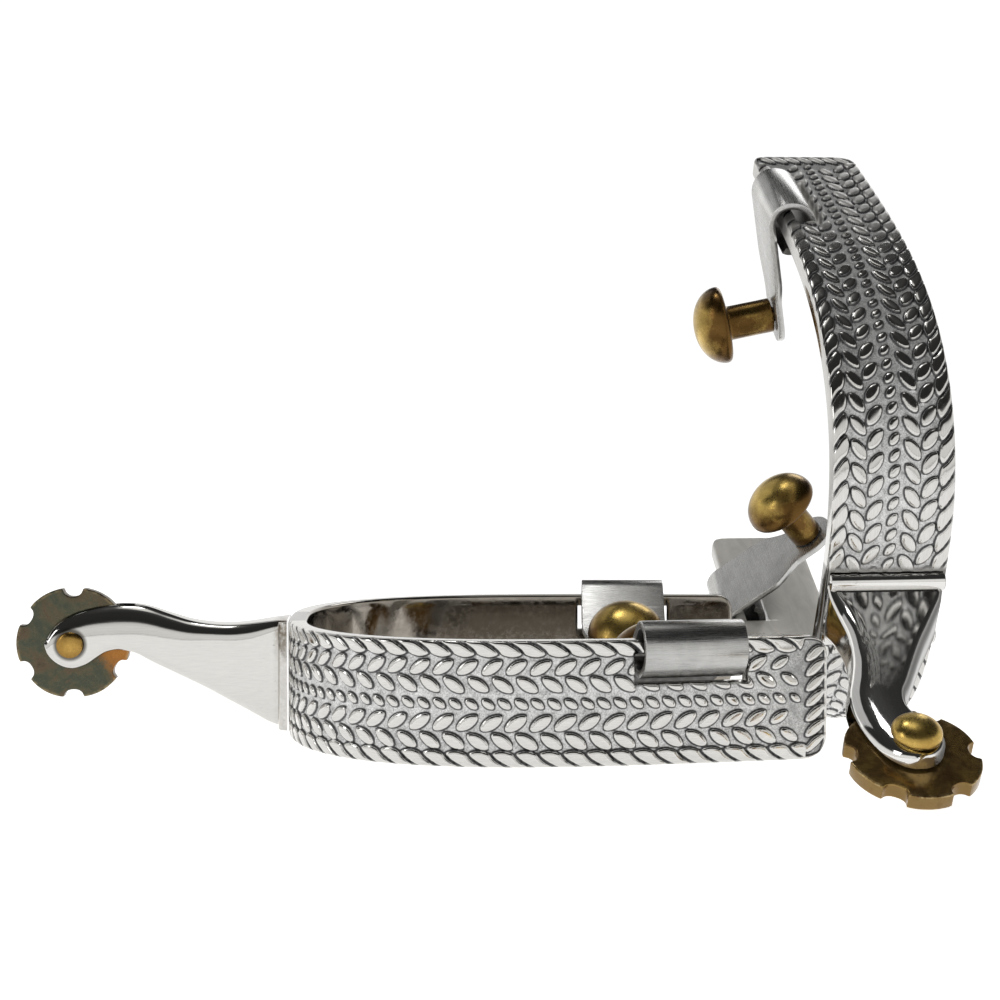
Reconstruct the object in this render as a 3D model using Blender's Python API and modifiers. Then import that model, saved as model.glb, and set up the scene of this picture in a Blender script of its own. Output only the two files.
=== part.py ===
# A pair of western riding spurs with swinging buttons and turning rowels.
# Spur 1 lies flat on its band edge.  Spur 2 stands on the lower half of its
# band with its shank towards the viewer.  Every spur has a heel band, a shank
# with a forked end, a rowel on a pin, and on each side a hanger that is
# curled round the band's hinge bar and carries a turned brass button.
#
# Spur frame: x from the heel towards the open end, y across, z along the
# band height with the hinge bars on the z = BAND_H edge.
import bpy
import bmesh
import math
from mathutils import Vector, Matrix

MM = 0.001

# ---- driving dimensions (millimetres) ---------------------------------
BAND_H = 19.05          # height of the band (3/4 in stock)
BAND_T = 3.2            # thickness of the band
HALF_LEN = 108.0        # length of one half of the band, along the outer face
BEND_LEN = 39.2         # how quickly the heel bend dies out
BEND_POW = 1.8
END_ANGLE = -0.112      # final direction of a half band (radians, inwards)
TIP_R_LOW = 3.0         # corner radii of the band's ends
TIP_R_TOP = 1.8
EDGE_ROUND = 0.55

SLOT_S = 86.4           # middle of the hinge slot, along the outer face
SLOT_LEN = 17.6
SLOT_Z0 = 12.3
SLOT_Z1 = 16.9

HANGER_LEN = 15.9       # length of the curled barrel
HANGER_T = 1.2
LOOP_U = 2.9            # half axes of the curl's middle line
LOOP_V = 3.6
ARM_LEN = 20.5          # hinge axis to button axis
PADDLE_R = 5.0

BUTTON_R = 7.0
BUTTON_HEAD = 5.9
POST_R = 3.1
POST_LEN = 8.3
RIVET_R = 1.3

PIN_X = -36.1           # rowel pin, measured from the heel's outer face
PIN_Z = 15.0
PIN_R = 1.6
PIN_HOLE_R = 1.9
EAR_T = 2.25
FORK_GAP = 3.1
NECK_HALF = EAR_T + FORK_GAP / 2

ROWEL_R = 9.4
ROWEL_T = 2.25
ROWEL_HOLE_R = 2.1
NOTCHES = 6
NOTCH_R = 1.75

FOOT_S = 5.0            # foot bars, along the band from the heel line
FOOT_BAR_R = 1.5
GAP = 0.3               # clearance between touching pieces

# placing of each spur: heel point, turn, and the hanger angles from the band (near, far)
SPUR1_AT = (-30.424, -3.588, 0.0)
SPUR1_YAW = 0.094
SPUR1_HANG = (46.0, 48.0)
SPUR2_AT = (75.416, -25.248, 22.86)
SPUR2_ROT = (0.500, 0.0124, 0.0796)
SPUR2_HANG = (77.0, 40.0)
SPUR1_SPREAD = (0.0, -0.03)
SPUR2_SPREAD = (0.136, 0.075)   # spur 2 is sprung open a little more on each side

STEEL = (0.62, 0.62, 0.60)
BRUSHED = (0.50, 0.50, 0.49)
BRASS = (0.55, 0.36, 0.10)
BROWN_BRASS = (0.23, 0.15, 0.07)

# ---- scene helpers -----------------------------------------------------
for old in list(bpy.data.objects):
    bpy.data.objects.remove(old, do_unlink=True)
for old in list(bpy.data.collections):
    bpy.data.collections.remove(old)

parts = bpy.data.collections.new("spurs")
tools = bpy.data.collections.new("cutters")
bpy.context.scene.collection.children.link(parts)
bpy.context.scene.collection.children.link(tools)


def material(name, rgb, rough, metal):
    m = bpy.data.materials.new(name)
    m.use_nodes = True
    b = m.node_tree.nodes["Principled BSDF"]
    b.inputs["Base Color"].default_value = (rgb[0], rgb[1], rgb[2], 1.0)
    b.inputs["Roughness"].default_value = rough
    b.inputs["Metallic"].default_value = metal
    return m


def place(ob, coll, parent=None, matrix=None):
    coll.objects.link(ob)
    if parent is not None:
        ob.parent = parent
    if matrix is not None:
        ob.matrix_local = matrix
    if coll is tools and ob.type != 'EMPTY':
        ob.hide_render = True
        ob.display_type = 'WIRE'
    return ob


def from_bmesh(name, bm):
    bmesh.ops.remove_doubles(bm, verts=bm.verts, dist=1e-7)
    bmesh.ops.recalc_face_normals(bm, faces=bm.faces)
    me = bpy.data.meshes.new(name)
    bm.to_mesh(me)
    bm.free()
    return me


def smooth(me, angle=35.0):
    me.shade_smooth()
    me.set_sharp_from_angle(angle=math.radians(angle))


def flat_mesh(name, outlines, half, bevel=0.0):
    """Mesh of a flat outline (mm, with holes) in XY, half thick each way."""
    cu = bpy.data.curves.new(name, 'CURVE')
    cu.dimensions = '2D'
    cu.fill_mode = 'BOTH'
    cu.extrude = (half - bevel) * MM
    cu.bevel_depth = bevel * MM
    cu.bevel_resolution = 1 if bevel else 0
    cu.offset = -bevel * MM
    for pts in outlines:
        sp = cu.splines.new('POLY')
        sp.points.add(len(pts) - 1)
        for p, (a, b) in zip(sp.points, pts):
            p.co = (a * MM, b * MM, 0.0, 1.0)
        sp.use_cyclic_u = True
    ob = bpy.data.objects.new(name + "_curve", cu)
    bpy.context.scene.collection.objects.link(ob)
    bpy.context.view_layer.update()
    dg = bpy.context.evaluated_depsgraph_get()
    me = bpy.data.meshes.new_from_object(ob.evaluated_get(dg))
    bpy.data.objects.remove(ob, do_unlink=True)
    bpy.data.curves.remove(cu)
    bm = bmesh.new()
    bm.from_mesh(me)
    bmesh.ops.remove_doubles(bm, verts=bm.verts, dist=1e-6)
    bmesh.ops.recalc_face_normals(bm, faces=bm.faces)
    bm.to_mesh(me)
    bm.free()
    me.name = name
    return me


def turned_mesh(name, profile, steps):
    """Profile (radius, height) in mm from top to bottom, turned about Z."""
    me = bpy.data.meshes.new(name)
    bm = bmesh.new()
    vs = [bm.verts.new((r * MM, 0.0, z * MM)) for r, z in profile]
    for a, b in zip(vs, vs[1:]):
        bm.edges.new((a, b))
    bm.to_mesh(me)
    bm.free()
    ob = bpy.data.objects.new(name + "_turn", me)
    bpy.context.scene.collection.objects.link(ob)
    sc = ob.modifiers.new("turn", 'SCREW')
    sc.axis = 'Z'
    sc.steps = steps
    sc.render_steps = steps
    sc.use_merge_vertices = True
    sc.merge_threshold = 0.00001
    bpy.context.view_layer.update()
    dg = bpy.context.evaluated_depsgraph_get()
    out = bpy.data.meshes.new_from_object(ob.evaluated_get(dg))
    bpy.data.objects.remove(ob, do_unlink=True)
    bpy.data.meshes.remove(me)
    bm = bmesh.new()
    bm.from_mesh(out)
    bmesh.ops.remove_doubles(bm, verts=bm.verts, dist=1e-6)
    bmesh.ops.recalc_face_normals(bm, faces=bm.faces)
    bm.to_mesh(out)
    bm.free()
    out.name = name
    return out


def boolean(ob, cutter, op='DIFFERENCE'):
    m = ob.modifiers.new(cutter.name, 'BOOLEAN')
    m.operation = op
    m.object = cutter
    m.solver = 'EXACT'
    return m


# ---- the heel curve ----------------------------------------------------
def heel_curve(length, spread=0.0, step=0.25):
    """Points (s, x, y, angle) of one half of the outer face from the heel."""
    n = int(round(length / step))
    pts = []
    x = y = 0.0
    prev = None
    for i in range(n + 1):
        s = length * i / n
        ang = END_ANGLE + (math.pi / 2 - END_ANGLE) * math.exp(-(s / BEND_LEN) ** BEND_POW)
        ang += spread * (1.0 - math.exp(-(s / 30.0) ** 2))
        if prev is not None:
            mid = 0.5 * (ang + prev)
            ds = length / n
            x += math.cos(mid) * ds
            y += math.sin(mid) * ds
        prev = ang
        pts.append((s, x, y, ang))
    return pts


def curve_at(pts, s):
    """Point and direction at distance s, straight on past the end."""
    last = pts[-1]
    if s >= last[0]:
        d = s - last[0]
        return last[1] + d * math.cos(last[3]), last[2] + d * math.sin(last[3]), last[3]
    step = pts[1][0]
    i = min(int(s / step), len(pts) - 2)
    a, b = pts[i], pts[i + 1]
    t = (s - a[0]) / (b[0] - a[0])
    return a[1] + t * (b[1] - a[1]), a[2] + t * (b[2] - a[2]), a[3] + t * (b[3] - a[3])


def tip_end(z):
    """Distance along the face at which the rounded end stands at height z."""
    if z < TIP_R_LOW:
        d = TIP_R_LOW - z
        return HALF_LEN - TIP_R_LOW + math.sqrt(max(TIP_R_LOW ** 2 - d * d, 0.0))
    if z > BAND_H - TIP_R_TOP:
        d = z - (BAND_H - TIP_R_TOP)
        return HALF_LEN - TIP_R_TOP + math.sqrt(max(TIP_R_TOP ** 2 - d * d, 0.0))
    return HALF_LEN


def band_mesh(name, low, high):
    """Outer face of the band as an open sheet: low is the -y half."""
    zs = [0.0, 0.45, 1.5, TIP_R_LOW, BAND_H - TIP_R_TOP, BAND_H - 0.8, BAND_H - 0.25, BAND_H]
    body = [0.0, 5, 10, 15, 20, 25, 30.5, 36, 42, 49, 57, 66, 76, 87, 98]
    bm = bmesh.new()
    # stations along the band: rounded end, start of the rounding, body, and back
    seq = []
    seq.append((-1, low, [tip_end(z) for z in zs]))
    seq.append((-1, low, [HALF_LEN - TIP_R_LOW] * len(zs)))
    for s in reversed(body):
        seq.append((-1, low, [float(s)] * len(zs)))
    for s in body[1:]:
        seq.append((1, high, [float(s)] * len(zs)))
    seq.append((1, high, [HALF_LEN - TIP_R_LOW] * len(zs)))
    seq.append((1, high, [tip_end(z) for z in zs]))
    grid = []
    for side, pts, ss in seq:
        line = []
        for s, z in zip(ss, zs):
            x, y, _ = curve_at(pts, s)
            line.append(bm.verts.new((x * MM, side * y * MM, z * MM)))
        grid.append(line)
    for a, b in zip(grid, grid[1:]):
        for j in range(len(zs) - 1):
            quad = []
            for v in (a[j], b[j], b[j + 1], a[j + 1]):
                if not any((v.co - q.co).length < 1e-9 for q in quad):
                    quad.append(v)
            if len(quad) >= 3:
                bm.faces.new(quad)
    bmesh.ops.remove_doubles(bm, verts=bm.verts, dist=1e-7)
    # the outer side looks away from the opening
    for f in bm.faces:
        f.normal_update()
    mid = min(bm.faces, key=lambda f: f.calc_center_median().x)
    if mid.normal.x > 0:
        bmesh.ops.reverse_faces(bm, faces=bm.faces)
    me = bpy.data.meshes.new(name)
    bm.to_mesh(me)
    bm.free()
    return me


# ---- the shank ---------------------------------------------------------
# side outline: (x, bottom z, top z, half width), from the foot to the ears
SHANK = [
    (6.0, 0.4, 18.8, 6.4),
    (2.5, 0.4, 18.8, 6.1),
    (0.6, 0.5, 18.8, 5.5),
    (-0.6, 0.9, 18.75, 5.0),
    (-2.0, 1.1, 18.8, 4.6),
    (-3.5, 1.6, 18.65, 4.35),
    (-5.4, 2.5, 18.4, 4.15),
    (-7.6, 3.8, 18.1, 4.0),
    (-10.2, 5.3, 17.9, 3.9),
    (-13.4, 7.1, 18.1, 3.85),
    (-16.7, 8.7, 18.75, 3.8),
    (-20.1, 10.3, 19.9, 3.8),
    (-23.2, 12.0, 21.05, 3.8),
    (-25.5, 13.4, 21.5, 3.8),
    (-28.1, 14.0, 21.65, 3.8),
    (-30.2, 13.7, 21.5, 3.8),
    (-31.7, 12.8, 21.3, 3.8),
    (-33.2, 11.6, 21.0, 3.8),
    (-34.6, 11.1, 20.6, 3.8),
    (-36.1, 10.9, 20.1, 3.8),
    (-37.6, 11.2, 19.3, 3.8),
    (-39.0, 12.1, 18.2, 3.8),
    (-40.0, 13.5, 16.8, 3.8),
]


def shank_mesh(name, around=20):
    bm = bmesh.new()
    rings = []
    for x, z0, z1, w in SHANK:
        # exponent: square shoulders at the foot, soft along the neck
        if x > -2.0:
            p = 7.0
        elif x > -26:
            p = 7.0 - 4.0 * min(1.0, (-2.0 - x) / 10.0)
        else:
            p = 3.0 + 3.0 * min(1.0, (-26.0 - x) / 5.0)
        zc, hz = 0.5 * (z0 + z1), 0.5 * (z1 - z0)
        ring = []
        for k in range(around):
            a = 2 * math.pi * (k + 0.5) / around
            c, s = math.cos(a), math.sin(a)
            cy = math.copysign(abs(c) ** (2.0 / p), c)
            cz = math.copysign(abs(s) ** (2.0 / p), s)
            ring.append(bm.verts.new((x * MM, w * cy * MM, (zc + hz * cz) * MM)))
        rings.append(ring)
    for a, b in zip(rings, rings[1:]):
        for k in range(around):
            k2 = (k + 1) % around
            bm.faces.new((a[k], a[k2], b[k2], b[k]))
    bm.faces.new(rings[0])
    bm.faces.new(list(reversed(rings[-1])))
    return from_bmesh(name, bm)


def rotation_vector(r):
    v = Vector(r)
    return Matrix.Rotation(v.length, 3, v.normalized()) if v.length > 1e-9 else Matrix.Identity(3)


# ---- shared piece meshes -----------------------------------------------
def rowel_outline():
    pts = []
    lobe = 2 * math.pi / NOTCHES
    half_open = math.asin(NOTCH_R / ROWEL_R)
    lip = 0.5
    for k in range(NOTCHES):
        c = math.pi / 6 + k * lobe
        a0 = c + half_open + lip / ROWEL_R
        a1 = c + lobe - half_open - lip / ROWEL_R
        n = 9
        for i in range(n + 1):
            a = a0 + (a1 - a0) * i / n
            pts.append((ROWEL_R * math.cos(a), ROWEL_R * math.sin(a)))
        # the notch itself: a shallow round-bottomed scoop
        c2 = c + lobe
        depth = 1.4
        for t in (-0.93, -0.7, -0.35, 0.0, 0.35, 0.7, 0.93):
            r = ROWEL_R - 0.1 - depth * math.sqrt(max(1.0 - t * t, 0.0))
            a = c2 + t * half_open
            pts.append((r * math.cos(a), r * math.sin(a)))
    return pts


def circle(r, n, cx=0.0, cy=0.0):
    return [(cx + r * math.cos(2 * math.pi * i / n), cy + r * math.sin(2 * math.pi * i / n)) for i in range(n)]


def loop_outline():
    """Curled sheet seen along the hinge axis: u inward, v along the band height."""
    outer, inner = [], []
    t0, t1 = 0.0, 2 * math.pi - 1.12
    n = 26
    for i in range(n + 1):
        t = t0 + (t1 - t0) * i / n
        u, v = LOOP_U * math.cos(t), LOOP_V * math.sin(t)
        nu, nv = math.cos(t) / LOOP_U, math.sin(t) / LOOP_V
        ln = math.hypot(nu, nv)
        nu, nv = nu / ln, nv / ln
        h = HANGER_T / 2
        outer.append((u + nu * h, v + nv * h))
        inner.append((u - nu * h, v - nv * h))
    # the strip runs straight down from the start to meet the arm
    lo = -5.0
    return [(LOOP_U + HANGER_T / 2, lo)] + outer + list(reversed(inner)) + [(LOOP_U - HANGER_T / 2, lo)]


def paddle_outline():
    """Arm seen from the button side: x along the barrel, v down from the axis."""
    w = HANGER_LEN / 2
    pts = [(-w, -3.0), (-w, -5.2)]
    # shoulders sweep in to the round end
    for i in range(1, 6):
        t = i / 6
        k = t * t * (3 - 2 * t)
        pts.append((-(w + (PADDLE_R - w) * k), -5.2 - (ARM_LEN - 3.4 - 5.2) * t))
    n = 12
    for i in range(n + 1):
        a = math.pi + math.pi * i / n
        pts.append((PADDLE_R * math.cos(a), -ARM_LEN + PADDLE_R * math.sin(a)))
    right = [(-x, v) for x, v in reversed(pts[:7])]
    return pts + right


me_rowel = flat_mesh("rowel", [rowel_outline(), circle(ROWEL_HOLE_R, 20)], ROWEL_T / 2, 0.25)

half_neck = NECK_HALF
pin_profile = [(0.0001, half_neck + GAP + 2.4), (1.5, half_neck + GAP + 2.2), (2.7, half_neck + GAP + 1.5),
               (3.4, half_neck + GAP + 0.6), (3.5, half_neck + GAP), (PIN_R, half_neck + GAP),
               (PIN_R, -half_neck - GAP), (2.2, -half_neck - GAP), (2.05, -half_neck - GAP - 0.5),
               (1.2, -half_neck - GAP - 0.85), (0.0001, -half_neck - GAP - 0.95)]
pin_profile[0] = (0.0, pin_profile[0][1])
pin_profile[-1] = (0.0, pin_profile[-1][1])
me_pin = turned_mesh("rowel_pin", pin_profile, 20)

hp = POST_LEN
button_profile = [(0.0, hp + BUTTON_HEAD), (2.4, hp + BUTTON_HEAD - 0.35), (4.6, hp + BUTTON_HEAD - 1.5),
                  (6.2, hp + BUTTON_HEAD - 3.1), (6.95, hp + BUTTON_HEAD - 4.7), (BUTTON_R, hp + 0.75),
                  (6.6, hp + 0.2), (5.6, hp - 0.05), (POST_R + 0.5, hp - 0.05), (POST_R, hp - 0.5),
                  (POST_R, 0.0), (RIVET_R, 0.0), (RIVET_R, -HANGER_T - GAP + 0.05), (0.0, -HANGER_T - GAP + 0.05)]
me_button = turned_mesh("button", button_profile, 20)

me_loop = flat_mesh("hanger_loop", [loop_outline()], HANGER_LEN / 2)
me_paddle = flat_mesh("hanger_paddle", [paddle_outline(), circle(RIVET_R + GAP, 14, 0.0, -ARM_LEN)], HANGER_T / 2)

me_shank = shank_mesh("shank")


# ---- one spur ----------------------------------------------------------
def build_spur(tag, frame, spread, hang, dome_side):
    steel = material(tag + "_steel", STEEL, 0.15, 1.0)
    low = heel_curve(HALF_LEN, spread[0])
    high = heel_curve(HALF_LEN, spread[1])

    # heel band
    band = place(bpy.data.objects.new(tag + "_heel_band", band_mesh(tag + "_heel_band", low, high)), parts, frame)
    so = band.modifiers.new("thickness", 'SOLIDIFY')
    so.thickness = BAND_T * MM
    so.offset = -1.0
    so.use_even_offset = True
    bv = band.modifiers.new("edges", 'BEVEL')
    bv.width = EDGE_ROUND * MM
    bv.segments = 2
    bv.limit_method = 'ANGLE'
    bv.angle_limit = math.radians(50)
    band.data.materials.append(steel)

    for side, pts, label in ((-1, low, "near"), (1, high, "far")):
        x, y, ang = curve_at(pts, SLOT_S)
        nx, ny = math.sin(ang), -math.cos(ang)      # inward for the +y half
        cx, cy = x + nx * BAND_T / 2, y + ny * BAND_T / 2
        rot = Matrix.Rotation(side * ang, 4, 'Z')
        bpy.ops.mesh.primitive_cube_add(size=1.0)
        cut = bpy.context.object
        cut.name = tag + "_slot_" + label
        for c in list(cut.users_collection):
            c.objects.unlink(cut)
        cut.data.transform(Matrix.Diagonal((SLOT_LEN * MM, 3 * BAND_T * MM, (SLOT_Z1 - SLOT_Z0) * MM, 1.0)))
        place(cut, tools, frame, Matrix.Translation(Vector((cx, side * cy, 0.5 * (SLOT_Z0 + SLOT_Z1))) * MM) @ rot)
        boolean(band, cut)

        # hanger and button turn about the middle of the bar above the slot
        pivot = bpy.data.objects.new(tag + "_hinge_" + label, None)
        pivot.empty_display_size = 0.01
        axis_z = 0.5 * (SLOT_Z1 + BAND_H)
        # local u (inward) is +Y of this empty on the -y side, -Y on the +y side
        base = Matrix.Translation(Vector((cx, side * cy, axis_z)) * MM) @ rot
        swing = Matrix.Rotation(math.radians(hang[0 if side < 0 else 1]) * (1 if side < 0 else -1), 4, 'X')
        place(pivot, parts, frame, base @ swing)
        # piece frame: X along the barrel, local mesh X/Y -> u/v
        flip = -side
        to_uv = Matrix(((0, 0, 1, 0), (flip, 0, 0, 0), (0, 1, 0, 0), (0, 0, 0, 1)))
        loop = place(bpy.data.objects.new(tag + "_hanger_" + label, me_loop.copy()), parts, pivot, to_uv)
        pad = place(bpy.data.objects.new(tag + "_paddle_" + label, me_paddle.copy()), tools, pivot,
                    Matrix.Translation(Vector((0, flip * LOOP_U, 0)) * MM) @ Matrix(((1, 0, 0, 0), (0, 0, flip, 0), (0, 1, 0, 0), (0, 0, 0, 1))))
        boolean(loop, pad, 'UNION')
        loop.data.materials.append(material(tag + "_hanger_steel_" + label, BRUSHED, 0.3, 1.0))

        button = place(bpy.data.objects.new(tag + "_button_" + label, me_button.copy()), parts, pivot,
                       Matrix.Translation(Vector((0, flip * (LOOP_U + HANGER_T / 2 + GAP), -ARM_LEN)) * MM)
                       @ Matrix.Rotation(math.radians(-90 * flip), 4, 'X'))
        button.data.materials.append(material(tag + "_button_brass_" + label, BRASS, 0.3, 1.0))
        smooth(button.data)

    # shank: lofted foot and neck, cut by the band, the fork slot and the pin hole
    shank = place(bpy.data.objects.new(tag + "_shank", me_shank.copy()), parts, frame)
    shank.data.materials.append(material(tag + "_shank_steel", STEEL, 0.12, 1.0))
    smooth(shank.data, 50)

    for side, pts in ((-1, low), (1, high)):
        x, y, ang = curve_at(pts, FOOT_S)
        bpy.ops.mesh.primitive_cylinder_add(vertices=16, radius=FOOT_BAR_R * MM, depth=(BAND_H - 0.9) * MM)
        bar = bpy.context.object
        bar.name = tag + "_foot_bar" + ("_a" if side < 0 else "_b")
        for c in list(bar.users_collection):
            c.objects.unlink(bar)
        place(bar, tools, frame, Matrix.Translation(Vector((x - 0.3 * math.sin(ang), side * (y + 0.3 * math.cos(ang)), BAND_H / 2)) * MM))
        boolean(shank, bar, 'UNION')

    outline = []
    for i in range(-12, 13):
        pts = low if i < 0 else high
        x, y, ang = curve_at(pts, abs(i) * 1.25)
        sg = -1 if i < 0 else 1
        outline.append((x - GAP * math.sin(ang), sg * (y + GAP * math.cos(ang))))
    outline.append((outline[-1][0] + 8.0, outline[-1][1] + 6.0))
    outline.append((outline[0][0] + 8.0, outline[0][1] - 6.0))
    me_cut = flat_mesh(tag + "_band_space", [outline], 20.0)
    cut = place(bpy.data.objects.new(tag + "_band_space", me_cut), tools, frame, Matrix.Translation(Vector((0, 0, 10.0)) * MM))
    boolean(shank, cut)

    bpy.ops.mesh.primitive_cube_add(size=1.0)
    fork = bpy.context.object
    fork.name = tag + "_fork_slot"
    for c in list(fork.users_collection):
        c.objects.unlink(fork)
    reach = ROWEL_R + 0.9
    fork.data.transform(Matrix.Diagonal((30.0 * MM, FORK_GAP * MM, 40.0 * MM, 1.0)))
    place(fork, tools, frame, Matrix.Translation(Vector((PIN_X + reach - 15.0, 0, PIN_Z)) * MM))
    boolean(shank, fork)

    bpy.ops.mesh.primitive_cylinder_add(vertices=20, radius=PIN_HOLE_R * MM, depth=30 * MM)
    hole = bpy.context.object
    hole.name = tag + "_pin_hole"
    for c in list(hole.users_collection):
        c.objects.unlink(hole)
    place(hole, tools, frame, Matrix.Translation(Vector((PIN_X, 0, PIN_Z)) * MM) @ Matrix.Rotation(math.pi / 2, 4, 'X'))
    boolean(shank, hole)

    at_pin = Matrix.Translation(Vector((PIN_X, 0, PIN_Z)) * MM)
    rowel = place(bpy.data.objects.new(tag + "_rowel", me_rowel.copy()), parts, frame, at_pin @ Matrix.Rotation(math.pi / 2, 4, 'X'))
    rowel.data.materials.append(material(tag + "_rowel_brass", BROWN_BRASS, 0.35, 1.0))
    smooth(rowel.data)
    pin = place(bpy.data.objects.new(tag + "_rowel_pin", me_pin.copy()), parts, frame,
                at_pin @ Matrix.Rotation(-dome_side * math.pi / 2, 4, 'X'))
    pin.data.materials.append(material(tag + "_pin_brass", BRASS, 0.25, 1.0))
    smooth(pin.data)


# ---- place the two spurs -----------------------------------------------
frame1 = place(bpy.data.objects.new("spur_1_frame", None), parts)
frame1.matrix_world = Matrix.Translation(Vector(SPUR1_AT) * MM) @ Matrix.Rotation(SPUR1_YAW, 4, 'Z')
build_spur("spur_1", frame1, SPUR1_SPREAD, SPUR1_HANG, 1)

base2 = Matrix(((0, 0, -1), (1, 0, 0), (0, -1, 0)))
rot2 = (rotation_vector(SPUR2_ROT) @ base2).to_4x4()
frame2 = place(bpy.data.objects.new("spur_2_frame", None), parts)
frame2.matrix_world = Matrix.Translation(Vector(SPUR2_AT) * MM) @ rot2
build_spur("spur_2", frame2, SPUR2_SPREAD, SPUR2_HANG, -1)
bpy.context.view_layer.update()
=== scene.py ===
import bpy
import bmesh
import math
import numpy as np
from mathutils import Vector, Matrix


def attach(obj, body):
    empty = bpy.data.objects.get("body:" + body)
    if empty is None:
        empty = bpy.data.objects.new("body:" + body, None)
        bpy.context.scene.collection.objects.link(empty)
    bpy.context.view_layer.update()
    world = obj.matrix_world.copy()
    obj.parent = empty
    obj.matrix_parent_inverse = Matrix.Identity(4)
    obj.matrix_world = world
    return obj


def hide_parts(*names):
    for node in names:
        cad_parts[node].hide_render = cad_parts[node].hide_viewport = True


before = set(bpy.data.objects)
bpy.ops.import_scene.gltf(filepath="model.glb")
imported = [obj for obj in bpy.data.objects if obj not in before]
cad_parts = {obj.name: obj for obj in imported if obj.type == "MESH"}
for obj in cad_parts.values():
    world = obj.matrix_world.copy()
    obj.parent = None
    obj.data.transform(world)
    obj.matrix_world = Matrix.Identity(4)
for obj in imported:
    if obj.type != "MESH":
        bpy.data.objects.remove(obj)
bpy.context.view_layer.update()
MM = 0.001

# ---- the CAD model's driving dimensions, in millimetres ------------------
BAND_H, BAND_T = 19.05, 3.2
HALF_LEN, BEND_LEN, BEND_POW, END_ANGLE = 108.0, 39.2, 1.8, -0.112
TIP_R_LOW, TIP_R_TOP, EDGE = 3.9, 3.0, 0.6     # the carved ends are rounder than the plain blank
SLOT_S, SLOT_LEN, SLOT_Z0, SLOT_Z1 = 86.4, 17.6, 12.3, 16.9
HANGER_LEN, HANGER_T, LOOP_U, LOOP_V = 15.9, 1.2, 2.9, 3.6
FULL_U, FULL_V = 1.38, 1.36     # the curl is fuller below and outside than the plain one
ARM_LEN, PADDLE_R = 20.5, 5.0
BUTTON_R, BUTTON_HEAD, POST_R, POST_LEN, RIVET_R = 7.0, 5.9, 3.1, 8.3, 1.3
PIN_X, PIN_Z, PIN_R, PIN_HOLE_R = -36.1, 15.0, 1.6, 1.9
EAR_T, FORK_GAP = 2.25, 3.1
NECK_HALF = EAR_T + FORK_GAP / 2
ROWEL_R, ROWEL_T, ROWEL_HOLE_R, NOTCHES, NOTCH_R = 9.4, 2.25, 2.1, 6, 1.75
FOOT_S, FOOT_BAR_R, GAP = 5.0, 1.5, 0.3
RELIEF = 0.5            # how deep the ground lies below the leaf tops


def rotation_vector(r):
    v = Vector(r)
    return Matrix.Rotation(v.length, 3, v.normalized())


base2 = Matrix(((0, 0, -1), (1, 0, 0), (0, -1, 0)))
SPURS = {
    "spur_1": dict(frame=Matrix.Translation(Vector((-30.424, -3.588, 0.0)) * MM) @ Matrix.Rotation(0.094, 4, 'Z'),
                   hang=(46.0, 48.0), spread=(0.0, -0.03), dome=1),
    "spur_2": dict(frame=Matrix.Translation(Vector((75.416, -25.248, 22.86)) * MM)
                   @ (rotation_vector((0.500, 0.0124, 0.0796)) @ base2).to_4x4(),
                   hang=(77.0, 40.0), spread=(0.136, 0.075), dome=-1),
}


# ---- mesh helpers ---------------------------------------------------------
def curve_table(spread):
    n = 432
    s = np.linspace(0.0, HALF_LEN, n + 1)
    ang = END_ANGLE + (math.pi / 2 - END_ANGLE) * np.exp(-(s / BEND_LEN) ** BEND_POW)
    ang = ang + spread * (1.0 - np.exp(-(s / 30.0) ** 2))
    mid = 0.5 * (ang[1:] + ang[:-1])
    ds = HALF_LEN / n
    x = np.concatenate(([0.0], np.cumsum(np.cos(mid) * ds)))
    y = np.concatenate(([0.0], np.cumsum(np.sin(mid) * ds)))
    return s, x, y, ang


def at(table, s):
    t, x, y, a = table
    s = np.asarray(s, float)
    over = np.maximum(s - t[-1], 0.0)
    ang = np.interp(s, t, a)
    return np.interp(s, t, x) + over * np.cos(ang), np.interp(s, t, y) + over * np.sin(ang), ang


def mesh_object(name, verts, faces):
    me = bpy.data.meshes.new(name)
    me.from_pydata([tuple(v) for v in verts], [], [tuple(int(i) for i in f) for f in faces])
    me.update()
    ob = bpy.data.objects.new(name, me)
    bpy.context.scene.collection.objects.link(ob)
    return ob


def tidy(me, dist=2e-7):
    bm = bmesh.new()
    bm.from_mesh(me)
    bmesh.ops.remove_doubles(bm, verts=bm.verts, dist=dist)
    bmesh.ops.recalc_face_normals(bm, faces=bm.faces)
    if bm.calc_volume(signed=True) < 0:
        bmesh.ops.reverse_faces(bm, faces=bm.faces)
    bm.to_mesh(me)
    bm.free()
    return me


def evaluated(ob, name=None):
    bpy.context.view_layer.update()
    dg = bpy.context.evaluated_depsgraph_get()
    me = bpy.data.meshes.new_from_object(ob.evaluated_get(dg))
    if name:
        me.name = name
    return me


def drop(ob):
    data = ob.data
    bpy.data.objects.remove(ob, do_unlink=True)
    if data is not None and data.users == 0:
        if isinstance(data, bpy.types.Mesh):
            bpy.data.meshes.remove(data)
        elif isinstance(data, bpy.types.Curve):
            bpy.data.curves.remove(data)


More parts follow.
